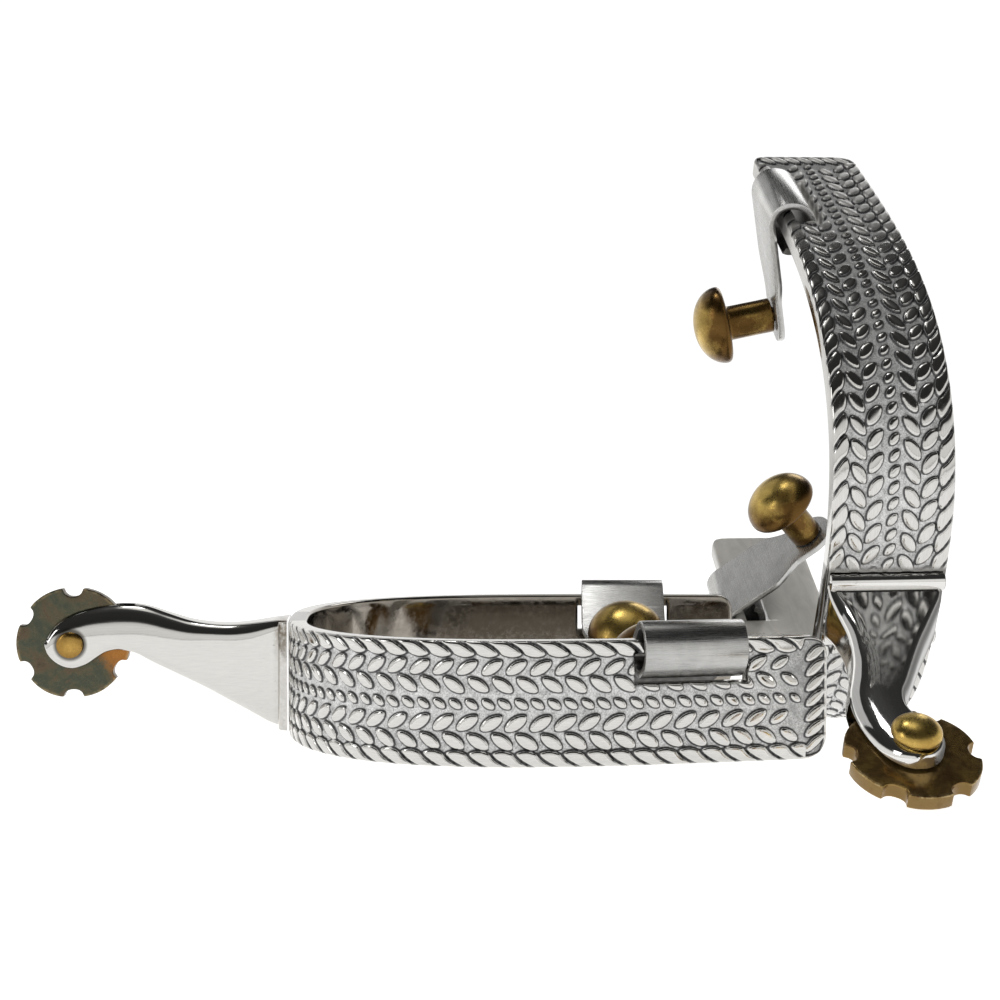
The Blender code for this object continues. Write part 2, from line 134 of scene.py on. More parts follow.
def flat_mesh(name, outlines, half, bevel=0.0, seg=3):
    cu = bpy.data.curves.new(name, 'CURVE')
    cu.dimensions = '2D'
    cu.fill_mode = 'BOTH'
    cu.extrude = (half - bevel) * MM
    cu.bevel_depth = bevel * MM
    cu.bevel_resolution = seg if bevel else 0
    cu.offset = -bevel * MM
    for pts in outlines:
        sp = cu.splines.new('POLY')
        sp.points.add(len(pts) - 1)
        for p, (a, b) in zip(sp.points, pts):
            p.co = (a * MM, b * MM, 0.0, 1.0)
        sp.use_cyclic_u = True
    ob = bpy.data.objects.new(name + "_curve", cu)
    bpy.context.scene.collection.objects.link(ob)
    me = evaluated(ob, name)
    drop(ob)
    return tidy(me, 1e-7)


def turned(name, profile, steps=96):
    """Closed turned piece from (radius, height) in mm, listed top to bottom on the axis."""
    verts, faces = [], []
    rows = []
    for r, z in profile:
        if r < 1e-6:
            rows.append([len(verts)])
            verts.append((0.0, 0.0, z * MM))
        else:
            row = []
            for k in range(steps):
                a = 2 * math.pi * k / steps
                row.append(len(verts))
                verts.append((r * math.cos(a) * MM, r * math.sin(a) * MM, z * MM))
            rows.append(row)
    for a, b in zip(rows, rows[1:]):
        for k in range(steps):
            k2 = (k + 1) % steps
            if len(a) == 1:
                faces.append((a[0], b[k], b[k2]))
            elif len(b) == 1:
                faces.append((a[k], b[0], a[k2]))
            else:
                faces.append((a[k], b[k], b[k2], a[k2]))
    me = bpy.data.meshes.new(name)
    me.from_pydata(verts, [], faces)
    me.update()
    return tidy(me)


def rounded_path(points, radii, seg=6):
    """A polyline of (r, z) whose inner corners are replaced by arcs of the given radii."""
    out = [points[0]]
    for i in range(1, len(points) - 1):
        p, q, r = np.array(points[i - 1], float), np.array(points[i], float), np.array(points[i + 1], float)
        rad = radii[i] if i < len(radii) else 0.0
        if rad <= 0:
            out.append(tuple(q))
            continue
        a, b = p - q, r - q
        la, lb = np.linalg.norm(a), np.linalg.norm(b)
        a, b = a / la, b / lb
        cut = min(rad, 0.49 * la, 0.49 * lb)
        for k in range(seg + 1):
            t = k / seg
            pt = (1 - t) ** 2 * (q + a * cut) + 2 * t * (1 - t) * q + t ** 2 * (q + b * cut)
            out.append(tuple(pt))
    out.append(points[-1])
    return out


def boolean(ob, cutter, op='DIFFERENCE'):
    m = ob.modifiers.new(cutter.name, 'BOOLEAN')
    m.operation = op
    m.object = cutter
    m.solver = 'EXACT'
    cutter.hide_render = True
    return m


def local_attr(me, scale=1000.0):
    """Keeps the piece's own coordinates, in millimetres, for its material."""
    co = np.empty(len(me.vertices) * 3, np.float32)
    me.vertices.foreach_get("co", co)
    at_ = me.attributes.new("loc", 'FLOAT_VECTOR', 'POINT')
    at_.data.foreach_set("vector", co * scale)


def shade(me, angle):
    me.shade_smooth()
    me.set_sharp_from_angle(angle=math.radians(angle))


def finish_piece(name, me, matrix, body, node, mat, angle=35.0):
    me.name = name
    if "loc" not in me.attributes:
        local_attr(me)
    me.transform(matrix)
    shade(me, angle)
    ob = bpy.data.objects.new(name, me)
    bpy.context.scene.collection.objects.link(ob)
    me.materials.clear()
    me.materials.append(mat)
    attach(ob, body)
    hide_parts(node)
    return ob


# ---- materials ------------------------------------------------------------
class Tree:
    def __init__(self, name):
        self.mat = bpy.data.materials.new(name)
        self.mat.use_nodes = True
        self.nt = self.mat.node_tree
        self.bsdf = self.nt.nodes["Principled BSDF"]

    def node(self, kind, **kw):
        n = self.nt.nodes.new(kind)
        for k, v in kw.items():
            setattr(n, k, v)
        return n

    def link(self, a, b):
        self.nt.links.new(a, b)

    def attr(self, name):
        n = self.node("ShaderNodeAttribute")
        n.attribute_type = 'GEOMETRY'
        n.attribute_name = name
        return n

    def put(self, n, index, value):
        if isinstance(value, (int, float)):
            n.inputs[index].default_value = value
        elif isinstance(value, (tuple, list)):
            n.inputs[index].default_value = value
        else:
            self.link(value, n.inputs[index])

    def math(self, op, a, b=0.0, clamp=False):
        n = self.node("ShaderNodeMath", operation=op)
        n.use_clamp = clamp
        self.put(n, 0, a)
        self.put(n, 1, b)
        return n.outputs[0]

    def ramp(self, value, lo, hi, out0=0.0, out1=1.0, smooth=True):
        n = self.node("ShaderNodeMapRange")
        n.interpolation_type = 'SMOOTHSTEP' if smooth else 'LINEAR'
        self.put(n, 0, value)
        for i, v in ((1, lo), (2, hi), (3, out0), (4, out1)):
            self.put(n, i, v)
        return n.outputs[0]

    def mapping(self, vec, scale=(1, 1, 1), loc=(0, 0, 0)):
        n = self.node("ShaderNodeMapping")
        self.link(vec, n.inputs["Vector"])
        n.inputs["Scale"].default_value = scale
        n.inputs["Location"].default_value = loc
        return n.outputs[0]

    def noise(self, vec, scale, detail=3.0, rough=0.5, distort=0.0):
        n = self.node("ShaderNodeTexNoise")
        self.link(vec, n.inputs["Vector"])
        n.inputs["Scale"].default_value = scale
        n.inputs["Detail"].default_value = detail
        n.inputs["Roughness"].default_value = rough
        n.inputs["Distortion"].default_value = distort
        return n.outputs[0]

    def mix(self, fac, a, b):
        n = self.node("ShaderNodeMix", data_type='RGBA')
        self.put(n, 0, fac)
        for i, v in ((6, a), (7, b)):
            self.put(n, i, tuple(v) + (1.0,) if isinstance(v, (tuple, list)) and len(v) == 3 else v)
        return n.outputs[2]

    def mixf(self, fac, a, b):
        n = self.node("ShaderNodeMix", data_type='FLOAT')
        self.put(n, 0, fac)
        self.put(n, 2, a)
        self.put(n, 3, b)
        return n.outputs[0]

    def colours(self, value, stops):
        n = self.node("ShaderNodeValToRGB")
        self.link(value, n.inputs[0])
        cr = n.color_ramp
        while len(cr.elements) > 1:
            cr.elements.remove(cr.elements[-1])
        cr.elements[0].position = stops[0][0]
        cr.elements[0].color = tuple(stops[0][1]) + (1.0,)
        for p, c in stops[1:]:
            e = cr.elements.new(p)
            e.color = tuple(c) + (1.0,)
        return n.outputs[0]

    def bump(self, height, strength, distance, normal=None):
        n = self.node("ShaderNodeBump")
        n.inputs["Strength"].default_value = strength
        n.inputs["Distance"].default_value = distance
        self.link(height, n.inputs["Height"])
        if normal is not None:
            self.link(normal, n.inputs["Normal"])
        return n.outputs[0]

    def done(self, colour=None, rough=None, metal=None, normal=None):
        b = self.bsdf
        for key, v in (("Base Color", colour), ("Roughness", rough), ("Metallic", metal), ("Normal", normal)):
            if v is None:
                continue
            if isinstance(v, (int, float)):
                b.inputs[key].default_value = v
            elif isinstance(v, tuple):
                b.inputs[key].default_value = v + (1.0,)
            else:
                self.link(v, b.inputs[key])
        return self.mat


def band_material(name, lining, lining_metal, haze=0.0):
    """Polished leaves and edges over a frosted ground, dark oxide round every leaf, a duller lining."""
    t = Tree(name)
    loc = t.attr("loc").outputs["Vector"]
    leaf = t.attr("leaf").outputs["Fac"]
    plain = t.attr("plain").outputs["Fac"]
    wob = t.noise(loc, 2.2, 3, 0.6)
    edge = t.math('ADD', leaf, t.math('MULTIPLY', t.math('SUBTRACT', wob, 0.5), 0.10))
    top = t.ramp(edge, 0.07, 0.20)
    top = t.math('MAXIMUM', top, plain, True)
    dark = t.math('MULTIPLY', t.ramp(edge, -0.24, -0.06), t.math('SUBTRACT', 1.0, top), True)
    # frosted ground
    g1 = t.noise(loc, 4.5, 5, 0.65)
    g2 = t.noise(loc, 0.85, 4, 0.6)
    speck = t.ramp(t.noise(loc, 9.0, 2, 0.5), 0.60, 0.74)
    ground = t.colours(t.math('ADD', t.math('MULTIPLY', g1, 0.65), t.math('MULTIPLY', g2, 0.35)),
                       [(0.34, (0.20, 0.20, 0.197)), (0.46, (0.52, 0.52, 0.515)), (0.57, (0.76, 0.76, 0.755)), (0.68, (0.95, 0.95, 0.94))])
    ground = t.mix(t.math('MULTIPLY', speck, 0.5), ground, (0.95, 0.95, 0.95))
    along = t.node("ShaderNodeSeparateXYZ")
    t.link(loc, along.inputs[0])
    tip = t.math('MULTIPLY', t.ramp(t.math('ABSOLUTE', along.outputs[0], 0.0), 99.5, 102.5), t.ramp(g2, 0.38, 0.62))
    ground = t.mix(t.math('MULTIPLY', tip, 0.62), ground, (0.17, 0.17, 0.17))
    oxide = t.colours(t.noise(loc, 3.0, 3, 0.6), [(0.3, (0.030, 0.030, 0.032)), (0.7, (0.11, 0.11, 0.11))])
    # polish: faint pull marks along the band
    pull = t.noise(t.mapping(loc, (0.5, 6.0, 9.0)), 1.0, 4, 0.6)
    steel = t.colours(pull, [(0.25, (0.52, 0.51, 0.49)), (0.75, (0.66, 0.65, 0.625))])
    col = t.mix(t.math('MULTIPLY', dark, 0.93), ground, oxide)
    col = t.mix(top, col, steel)
    sep = t.node("ShaderNodeSeparateXYZ")
    t.link(loc, sep.inputs[0])
    inner = t.ramp(sep.outputs[1], BAND_T - 0.45, BAND_T - 0.08)
    tide = t.noise(t.mapping(loc, (0.25, 1.0, 0.6)), 0.5, 4, 0.6, 0.6)
    coat = t.colours(tide, [(0.35, tuple(c * 0.84 for c in lining)), (0.6, lining), (0.75, tuple(min(1.0, c * 1.07) for c in lining))])
    col = t.mix(inner, col, coat)
    # darker where the shank's foot meets the band
    foot = t.math('MULTIPLY', t.ramp(t.math('ABSOLUTE', sep.outputs[0], 0.0), 7.7, 6.7), t.math('SUBTRACT', 1.0, inner))
    col = t.mix(t.math('MULTIPLY', foot, 0.80), col, (0.075, 0.070, 0.062))
    rough_top = t.ramp(t.noise(loc, 1.1, 4, 0.6), 0.3, 0.75, 0.06, 0.17)
    metal_low, metal_top = 0.62, 1.0
    if haze:
        # the polish is hazier towards the ends of the band
        dull = t.math('MULTIPLY', t.ramp(t.math('ABSOLUTE', sep.outputs[0], 0.0), 56.0, 84.0), haze)
        rough_top = t.mixf(dull, rough_top, 0.38)
        metal_low = t.mixf(dull, 0.62, 0.22)
        metal_top = t.mixf(dull, 1.0, 0.84)
    rough = t.mixf(top, t.ramp(g1, 0.3, 0.7, 0.36, 0.58), rough_top)
    h = t.math('MULTIPLY', g1, t.math('SUBTRACT', 1.0, top))
    nrm = t.bump(h, 0.55, 0.00016)
    fine = t.bump(t.noise(loc, 0.6, 2, 0.4), 0.05, 0.0001, nrm)
    metal = t.mixf(t.math('MAXIMUM', top, dark), metal_low, metal_top)
    metal = t.mixf(inner, metal, lining_metal)
    return t.done(col, rough, metal, fine)


def polished_material(name, tint=(0.68, 0.67, 0.65), heat=0.9, shade_under=0.0):
    """Mirror-polished steel with fine scratches, wear and a faint straw tint at the weld; shade_under adds painted
    shade to the faces turned downwards.
    """
    t = Tree(name)
    loc = t.attr("loc").outputs["Vector"]
    sep = t.node("ShaderNodeSeparateXYZ")
    t.link(loc, sep.inputs[0])
    sc = t.noise(t.mapping(loc, (0.35, 5.0, 5.0)), 1.0, 5, 0.65)
    sc2 = t.noise(t.mapping(loc, (6.0, 0.5, 5.0)), 1.0, 3, 0.6)
    cloud = t.noise(loc, 0.35, 3, 0.5)
    base = t.colours(sc, [(0.25, tuple(c * 0.9 for c in tint)), (0.75, tint)])
    col = base
    if heat:
        near = t.ramp(sep.outputs[0], -2.9, -1.2)
        high = t.ramp(sep.outputs[2], 11.0, 17.5, 0.18, 1.0)
        stain = t.math('MULTIPLY', t.math('MULTIPLY', near, high), t.ramp(t.noise(loc, 0.8, 3, 0.6), 0.25, 0.6), True)
        col = t.mix(t.math('MULTIPLY', stain, heat), base, (0.14, 0.100, 0.058))
        rx = t.math('SUBTRACT', sep.outputs[0], PIN_X)
        rz = t.math('SUBTRACT', sep.outputs[2], PIN_Z)
        rr = t.math('SQRT', t.math('ADD', t.math('MULTIPLY', rx, rx), t.math('MULTIPLY', rz, rz)))
        ring = t.math('MULTIPLY', t.ramp(rr, 3.0, 2.35), 0.85)
        col = t.mix(ring, col, (0.05, 0.042, 0.03))
        pit = t.math('MULTIPLY', t.ramp(t.noise(loc, 1.6, 2, 0.5), 0.70, 0.78), t.ramp(sep.outputs[0], -6.0, -2.0))
        col = t.mix(t.math('MULTIPLY', pit, 0.55), col, (0.22, 0.21, 0.19))
    rough = t.ramp(t.math('ADD', t.math('MULTIPLY', sc, 0.6), t.math('MULTIPLY', cloud, 0.4)), 0.30, 0.75, 0.03, 0.11)
    metal = 1.0
    if shade_under:
        # painted shade: faces turned downwards get a darker colour, strongest towards the sides, and are also made
        # duller
        low = t.math('MULTIPLY', t.ramp(t.attr("under").outputs["Fac"], 0.35, 0.75), t.ramp(t.math('ABSOLUTE', sep.outputs[1], 0.0), 0.5, 3.2, 0.55, 1.0))
        col = t.mix(t.math('MULTIPLY', low, shade_under), col, (0.13, 0.128, 0.122))
        rough = t.mixf(low, rough, 0.60)
        metal = t.mixf(low, 1.0, 0.20)
    nrm = t.bump(sc2, 0.04, 0.00005)
    nrm = t.bump(sc, 0.035, 0.00005, nrm)
    return t.done(col, rough, metal, nrm)


def brushed_material(name, painted_light_lift=1.0, metal=1.0):
    """Satin steel: grain along the barrel, duller where the strip folds in, with painted shade darkening the fold; the
    lift factor brightens the whole colour as painted light.
    """
    t = Tree(name)
    loc = t.attr("loc").outputs["Vector"]
    grain = t.noise(t.mapping(loc, (0.22, 9.0, 9.0)), 1.0, 5, 0.7)
    blot = t.noise(loc, 0.35, 3, 0.5)
    # painted light: the lift factor scales the whole colour up
    col = t.colours(t.math('ADD', t.math('MULTIPLY', grain, 0.7), t.math('MULTIPLY', blot, 0.3)),
                    [(p, tuple(min(0.9, k * c * painted_light_lift) for k in (1.0, 0.992, 0.97))) for p, c in ((0.30, 0.30), (0.55, 0.46), (0.75, 0.58))])
    pos = t.node("ShaderNodeSeparateXYZ")
    t.link(t.attr("curl").outputs["Vector"], pos.inputs[0])
    u, v = pos.outputs[1], pos.outputs[2]
    ru = t.math('MULTIPLY', u, 1.0 / LOOP_U)
    rv = t.math('MULTIPLY', v, 1.0 / LOOP_V)
    r = t.math('SQRT', t.math('ADD', t.math('MULTIPLY', ru, ru), t.math('MULTIPLY', rv, rv)))
    inside = t.math('MULTIPLY', t.ramp(r, 1.0, 0.90), t.ramp(v, -3.7, -3.4))
    strip = t.math('MULTIPLY', t.ramp(u, LOOP_U + 0.05, LOOP_U - 0.3), t.math('MULTIPLY', t.ramp(v, -15.8, -12.6), t.ramp(v, -2.0, -2.6)))
    fold = t.math('MAXIMUM', inside, strip, True)
    # painted shade: the inside of the curl and the strip inside the slot are darkened where shadow falls
    painted_fold_shade = t.math('MULTIPLY', fold, t.ramp(t.noise(loc, 0.9, 3, 0.6), 0.2, 0.6, 0.70, 0.93))
    col = t.mix(painted_fold_shade, col, (0.055, 0.052, 0.048))
    rough = t.math('ADD', t.ramp(grain, 0.3, 0.75, 0.20, 0.36), t.math('MULTIPLY', fold, 0.15))
    return t.done(col, rough, metal, t.bump(grain, 0.16, 0.00008))


def brass_material(name, worn, dark, deep=0.0):
    """Aged brass: gold on the crown, brown in the hollows and round the rim."""
    t = Tree(name)
    loc = t.attr("loc").outputs["Vector"]
    rad = t.attr("rad").outputs["Fac"]
    cloud = t.noise(loc, 0.28, 4, 0.55, 0.4)
    fine = t.noise(loc, 2.4, 4, 0.6)
    spin = t.noise(t.mapping(loc, (0.7, 0.7, 7.0)), 1.0, 3, 0.6)
    age = t.math('ADD', t.math('ADD', t.math('MULTIPLY', rad, 0.62), t.math('MULTIPLY', cloud, 0.65)), deep)
    age = t.math('ADD', age, t.math('MULTIPLY', t.math('SUBTRACT', fine, 0.5), 0.22), True)
    mid = tuple(0.5 * (a + b) for a, b in zip(worn, dark))
    col = t.colours(age, [(0.20, worn), (0.52, mid), (0.86, dark)])
    rough = t.ramp(t.math('ADD', t.math('MULTIPLY', fine, 0.5), t.math('MULTIPLY', cloud, 0.5)), 0.3, 0.7, 0.20, 0.38)
    nrm = t.bump(fine, 0.10, 0.00010)
    nrm = t.bump(spin, 0.06, 0.00005, nrm)
    return t.done(col, rough, 1.0, nrm)


def rowel_material(name, stops, hot, rim, hub=0.0, wall=(0.10, 0.075, 0.045), shine=(0.22, 0.42), metal=1.0):
    """Heat-coloured patina: drifting brown, olive and blue-green with rust in one quarter."""
    t = Tree(name)
    loc = t.attr("loc").outputs["Vector"]
    rad = t.attr("rad").outputs["Fac"]
    drift = t.noise(loc, 0.17, 4, 0.6, 1.3)
    fine = t.noise(loc, 1.3, 5, 0.65)
    v = t.math('ADD', t.math('MULTIPLY', drift, 0.8), t.math('MULTIPLY', fine, 0.2))
    col = t.colours(v, stops)
    sep = t.node("ShaderNodeSeparateXYZ")
    t.link(loc, sep.inputs[0])
    side = t.math('ADD', sep.outputs[0], t.math('MULTIPLY', sep.outputs[1], 0.62))
    warm = t.math('MULTIPLY', t.ramp(t.math('ADD', side, t.math('MULTIPLY', fine, 4.0)), 3.9, 6.8), t.ramp(drift, 0.2, 0.55, 0.6, 1.0), True)
    warm = t.math('MULTIPLY', warm, t.ramp(sep.outputs[1], 1.6, -0.2))
    col = t.mix(t.math('MULTIPLY', warm, hot), col, (0.36, 0.145, 0.030))
    col = t.mix(t.math('MULTIPLY', t.ramp(rad, 0.60, 0.20), hub), col, (0.012, 0.008, 0.006))
    worn = t.math('MULTIPLY', t.ramp(rad, 0.93, 1.0), t.ramp(fine, 0.38, 0.62))
    col = t.mix(t.math('MULTIPLY', worn, rim), col, (0.55, 0.42, 0.22))
    # the sawn edge is brighter than the coloured faces
    thick = t.math('ABSOLUTE', sep.outputs[2], 0.0)
    edge = t.math('MULTIPLY', t.ramp(thick, ROWEL_T / 2 - 0.10, ROWEL_T / 2 - 0.32), t.ramp(rad, 0.70, 0.78))
    col = t.mix(t.math('MULTIPLY', edge, t.ramp(fine, 0.25, 0.6, 0.55, 0.95)), col, wall)
    rough = t.ramp(fine, 0.3, 0.7, shine[0], shine[1])
    return t.done(col, rough, metal, t.bump(fine, 0.09, 0.00010))


MAT_BAND = {"spur_1": band_material("carved_steel_dark_lining", (0.30, 0.275, 0.24), 1.0),
            "spur_2": band_material("carved_steel_pale_lining", (0.74, 0.72, 0.67), 0.30, 1.0)}
MAT_SHANK = {"spur_1": polished_material("polished_steel_heat_marked", (0.61, 0.60, 0.575)),
             # spur_2's shank gets painted shade on its downward faces
             "spur_2": polished_material("polished_steel", (0.74, 0.73, 0.71), 0.12, 0.95)}
# spur_2's hangers get a lighter base colour as painted light, making up for the dark sky they face
MAT_HANGER = {"spur_1": brushed_material("satin_steel"), "spur_2": brushed_material("satin_steel_painted_lighter", 1.18, 0.86)}
MAT_BUTTON = brass_material("aged_brass", (0.70, 0.50, 0.14), (0.115, 0.062, 0.018))
MAT_PIN = {"spur_1": brass_material("dull_brass", (0.52, 0.33, 0.09), (0.18, 0.095, 0.022), 0.02),
           "spur_2": brass_material("bright_brass", (0.78, 0.56, 0.16), (0.26, 0.15, 0.035), -0.15)}
MAT_ROWEL = {
    "spur_1": rowel_material("dark_patina", [(0.30, (0.058, 0.045, 0.032)), (0.42, (0.098, 0.076, 0.050)), (0.50, (0.080, 0.078, 0.052)),
                                             (0.57, (0.060, 0.068, 0.050)), (0.68, (0.105, 0.084, 0.056))], 0.80, 0.45),
    "spur_2": rowel_material("gold_patina", [(0.30, (0.100, 0.056, 0.020)), (0.46, (0.180, 0.108, 0.034)), (0.58, (0.310, 0.200, 0.058)),
                                             (0.70, (0.135, 0.080, 0.028))], 0.15, 0.75, 0.85, (0.205, 0.130, 0.044), (0.12, 0.26), 0.72),
}


# ---- heel bands: braided relief as a fine height field ---------------------
def jitter(row, k, n=0):
    v = np.sin(k * 12.9898 + row * 78.233 + n * 37.719) * 43758.5453
    return v - np.floor(v) - 0.5


def ellipse_sdf(a, b, A, B):
    """Distance inside a pointed ellipse, positive inside."""
    b = b / (1.0 - 0.16 * np.clip((a / A) ** 2, 0, 1))
    r = np.sqrt((a / A) ** 2 + (b / B) ** 2) + 1e-6
    g = np.sqrt((a / A ** 2) ** 2 + (b / B ** 2) ** 2) / r + 1e-6
    return np.clip((1.0 - r) / g, -3.0, B)


def ellipse_sdf2(a, b, A, B):
    r = np.sqrt((a / A) ** 2 + (b / B) ** 2) + 1e-6
    g = np.sqrt((a / A ** 2) ** 2 + (b / B ** 2) ** 2) / r + 1e-6
    return np.clip((1.0 - r) / g, -3.0, 1.0)


ROWS = [  # height, slant, spacing, half length, half width, distance of the first one from the tip
    (15.05, 0.58, 3.70, 1.90, 0.95, 7.7),
    (12.45, -0.58, 3.70, 1.90, 0.95, 6.1),
    (9.55, -0.60, 2.50, 1.20, 0.70, 5.2),
    (6.72, 0.58, 3.70, 1.96, 1.00, 7.8),
    (3.95, -0.58, 3.70, 1.96, 1.00, 6.2),
]


def carving(s, z):
    """Distance inside the nearest raised leaf or strand (mm), for s from the heel and z from the lower edge."""
    u = HALF_LEN - s
    best = np.full(np.broadcast(s, z).shape, -3.0)
    for i, (zc, slant, pitch, A, B, u0) in enumerate(ROWS):
        k = np.maximum(np.round((u - u0) / pitch), 0.0)
        uc = u0 + k * pitch + 0.10 * jitter(i, k)
        a0 = -(u - uc)
        b0 = z - zc - 0.07 * jitter(i, k, 1)
        th = slant + 0.07 * jitter(i, k, 2)
        a = a0 * np.cos(th) + b0 * np.sin(th)
        b = -a0 * np.sin(th) + b0 * np.cos(th)
        first = np.where(k == 0, 0.86, 1.0)
        size = first * (1.0 + 0.06 * jitter(i, k, 3))
        best = np.maximum(best, ellipse_sdf(a, b, A * size, B * size))
    # twisted strands along the two long edges: a round head, and a tail drawn out along the edge
    for sign, z_in in ((1, 2.62), (-1, BAND_H - 2.50)):
        drop_ = np.clip((z_in - z) * sign / 2.6, 0.0, 1.2)          # 0 at the inner side, 1 at the edge
        q = (s * sign - 3.0 * drop_ ** 1.9) / 3.55 + (0.35 if sign > 0 else 0.12)
        f = q - np.floor(q)
        slope = 3.0 * 1.9 * np.maximum(drop_, 0.02) ** 0.9 / 2.6
        d1 = 3.55 * np.minimum(f, 1.0 - f) / np.sqrt(1.0 + slope ** 2) - 0.10
        # the heads stand up as low arches
        arch = (z_in - z) * sign - 0.62 * (1.0 - np.sin(np.pi * np.clip(f, 0.0, 1.0)) ** 0.7)
        d = np.minimum(d1, arch)
        cut = (u - 3.3) if sign > 0 else (u - 3.6 - 0.9 * (1.0 - drop_) ** 2)
        d = np.where(u < 5.4, np.minimum(d, 0.9 * cut), d)
        best = np.maximum(best, np.clip(d, -3.0, 1.0))
    # leaning leaves across the end
    p = (z - 0.95 - 0.35) / 2.34
    k = np.clip(np.round(p - 0.5), 0, 6)
    zc = 1.30 + (k + 0.5) * 2.34
    a0, b0 = s - (HALF_LEN - 1.98), z - zc
    th = 0.70 + 0.06 * jitter(11, k)
    a = a0 * np.cos(th) + b0 * np.sin(th)
    b = -a0 * np.sin(th) + b0 * np.cos(th)
    best = np.maximum(best, ellipse_sdf(a, b, 2.02 + 0 * a, 0.86 + 0 * a))
    for kk in (-1, 1):
        k2 = np.clip(k + kk, 0, 6)
        zc = 1.30 + (k2 + 0.5) * 2.34
        b0 = z - zc
        a = a0 * np.cos(th) + b0 * np.sin(th)
        b = -a0 * np.sin(th) + b0 * np.cos(th)
        best = np.maximum(best, ellipse_sdf(a, b, 2.02 + 0 * a, 0.86 + 0 * a))
    # the end is bounded by a polished lip
    lip = 0.55 - np.minimum(u, np.minimum(z, BAND_H - z))
    return np.where(u < 4.6, np.maximum(best, np.clip(lip, -3.0, 1.0)), best)


def spread_stations(keys, step):
    out = [keys[0]]
    for a, b in zip(keys, keys[1:]):
        n = max(1, int(math.ceil((b - a) / step)))
        out += [a + (b - a) * k / n for k in range(1, n + 1)]
    return out


def zipper(A, B, za, zb):
    """Triangles between two runs of vertices that rise together."""
    faces = []
    i = j = 0
    while i < len(A) - 1 or j < len(B) - 1:
        if j == len(B) - 1 or (i < len(A) - 1 and za[i + 1] <= zb[j + 1]):
            faces.append((A[i], A[i + 1], B[j]))
            i += 1
        else:
            faces.append((A[i], B[j + 1], B[j]))
            j += 1
    return faces


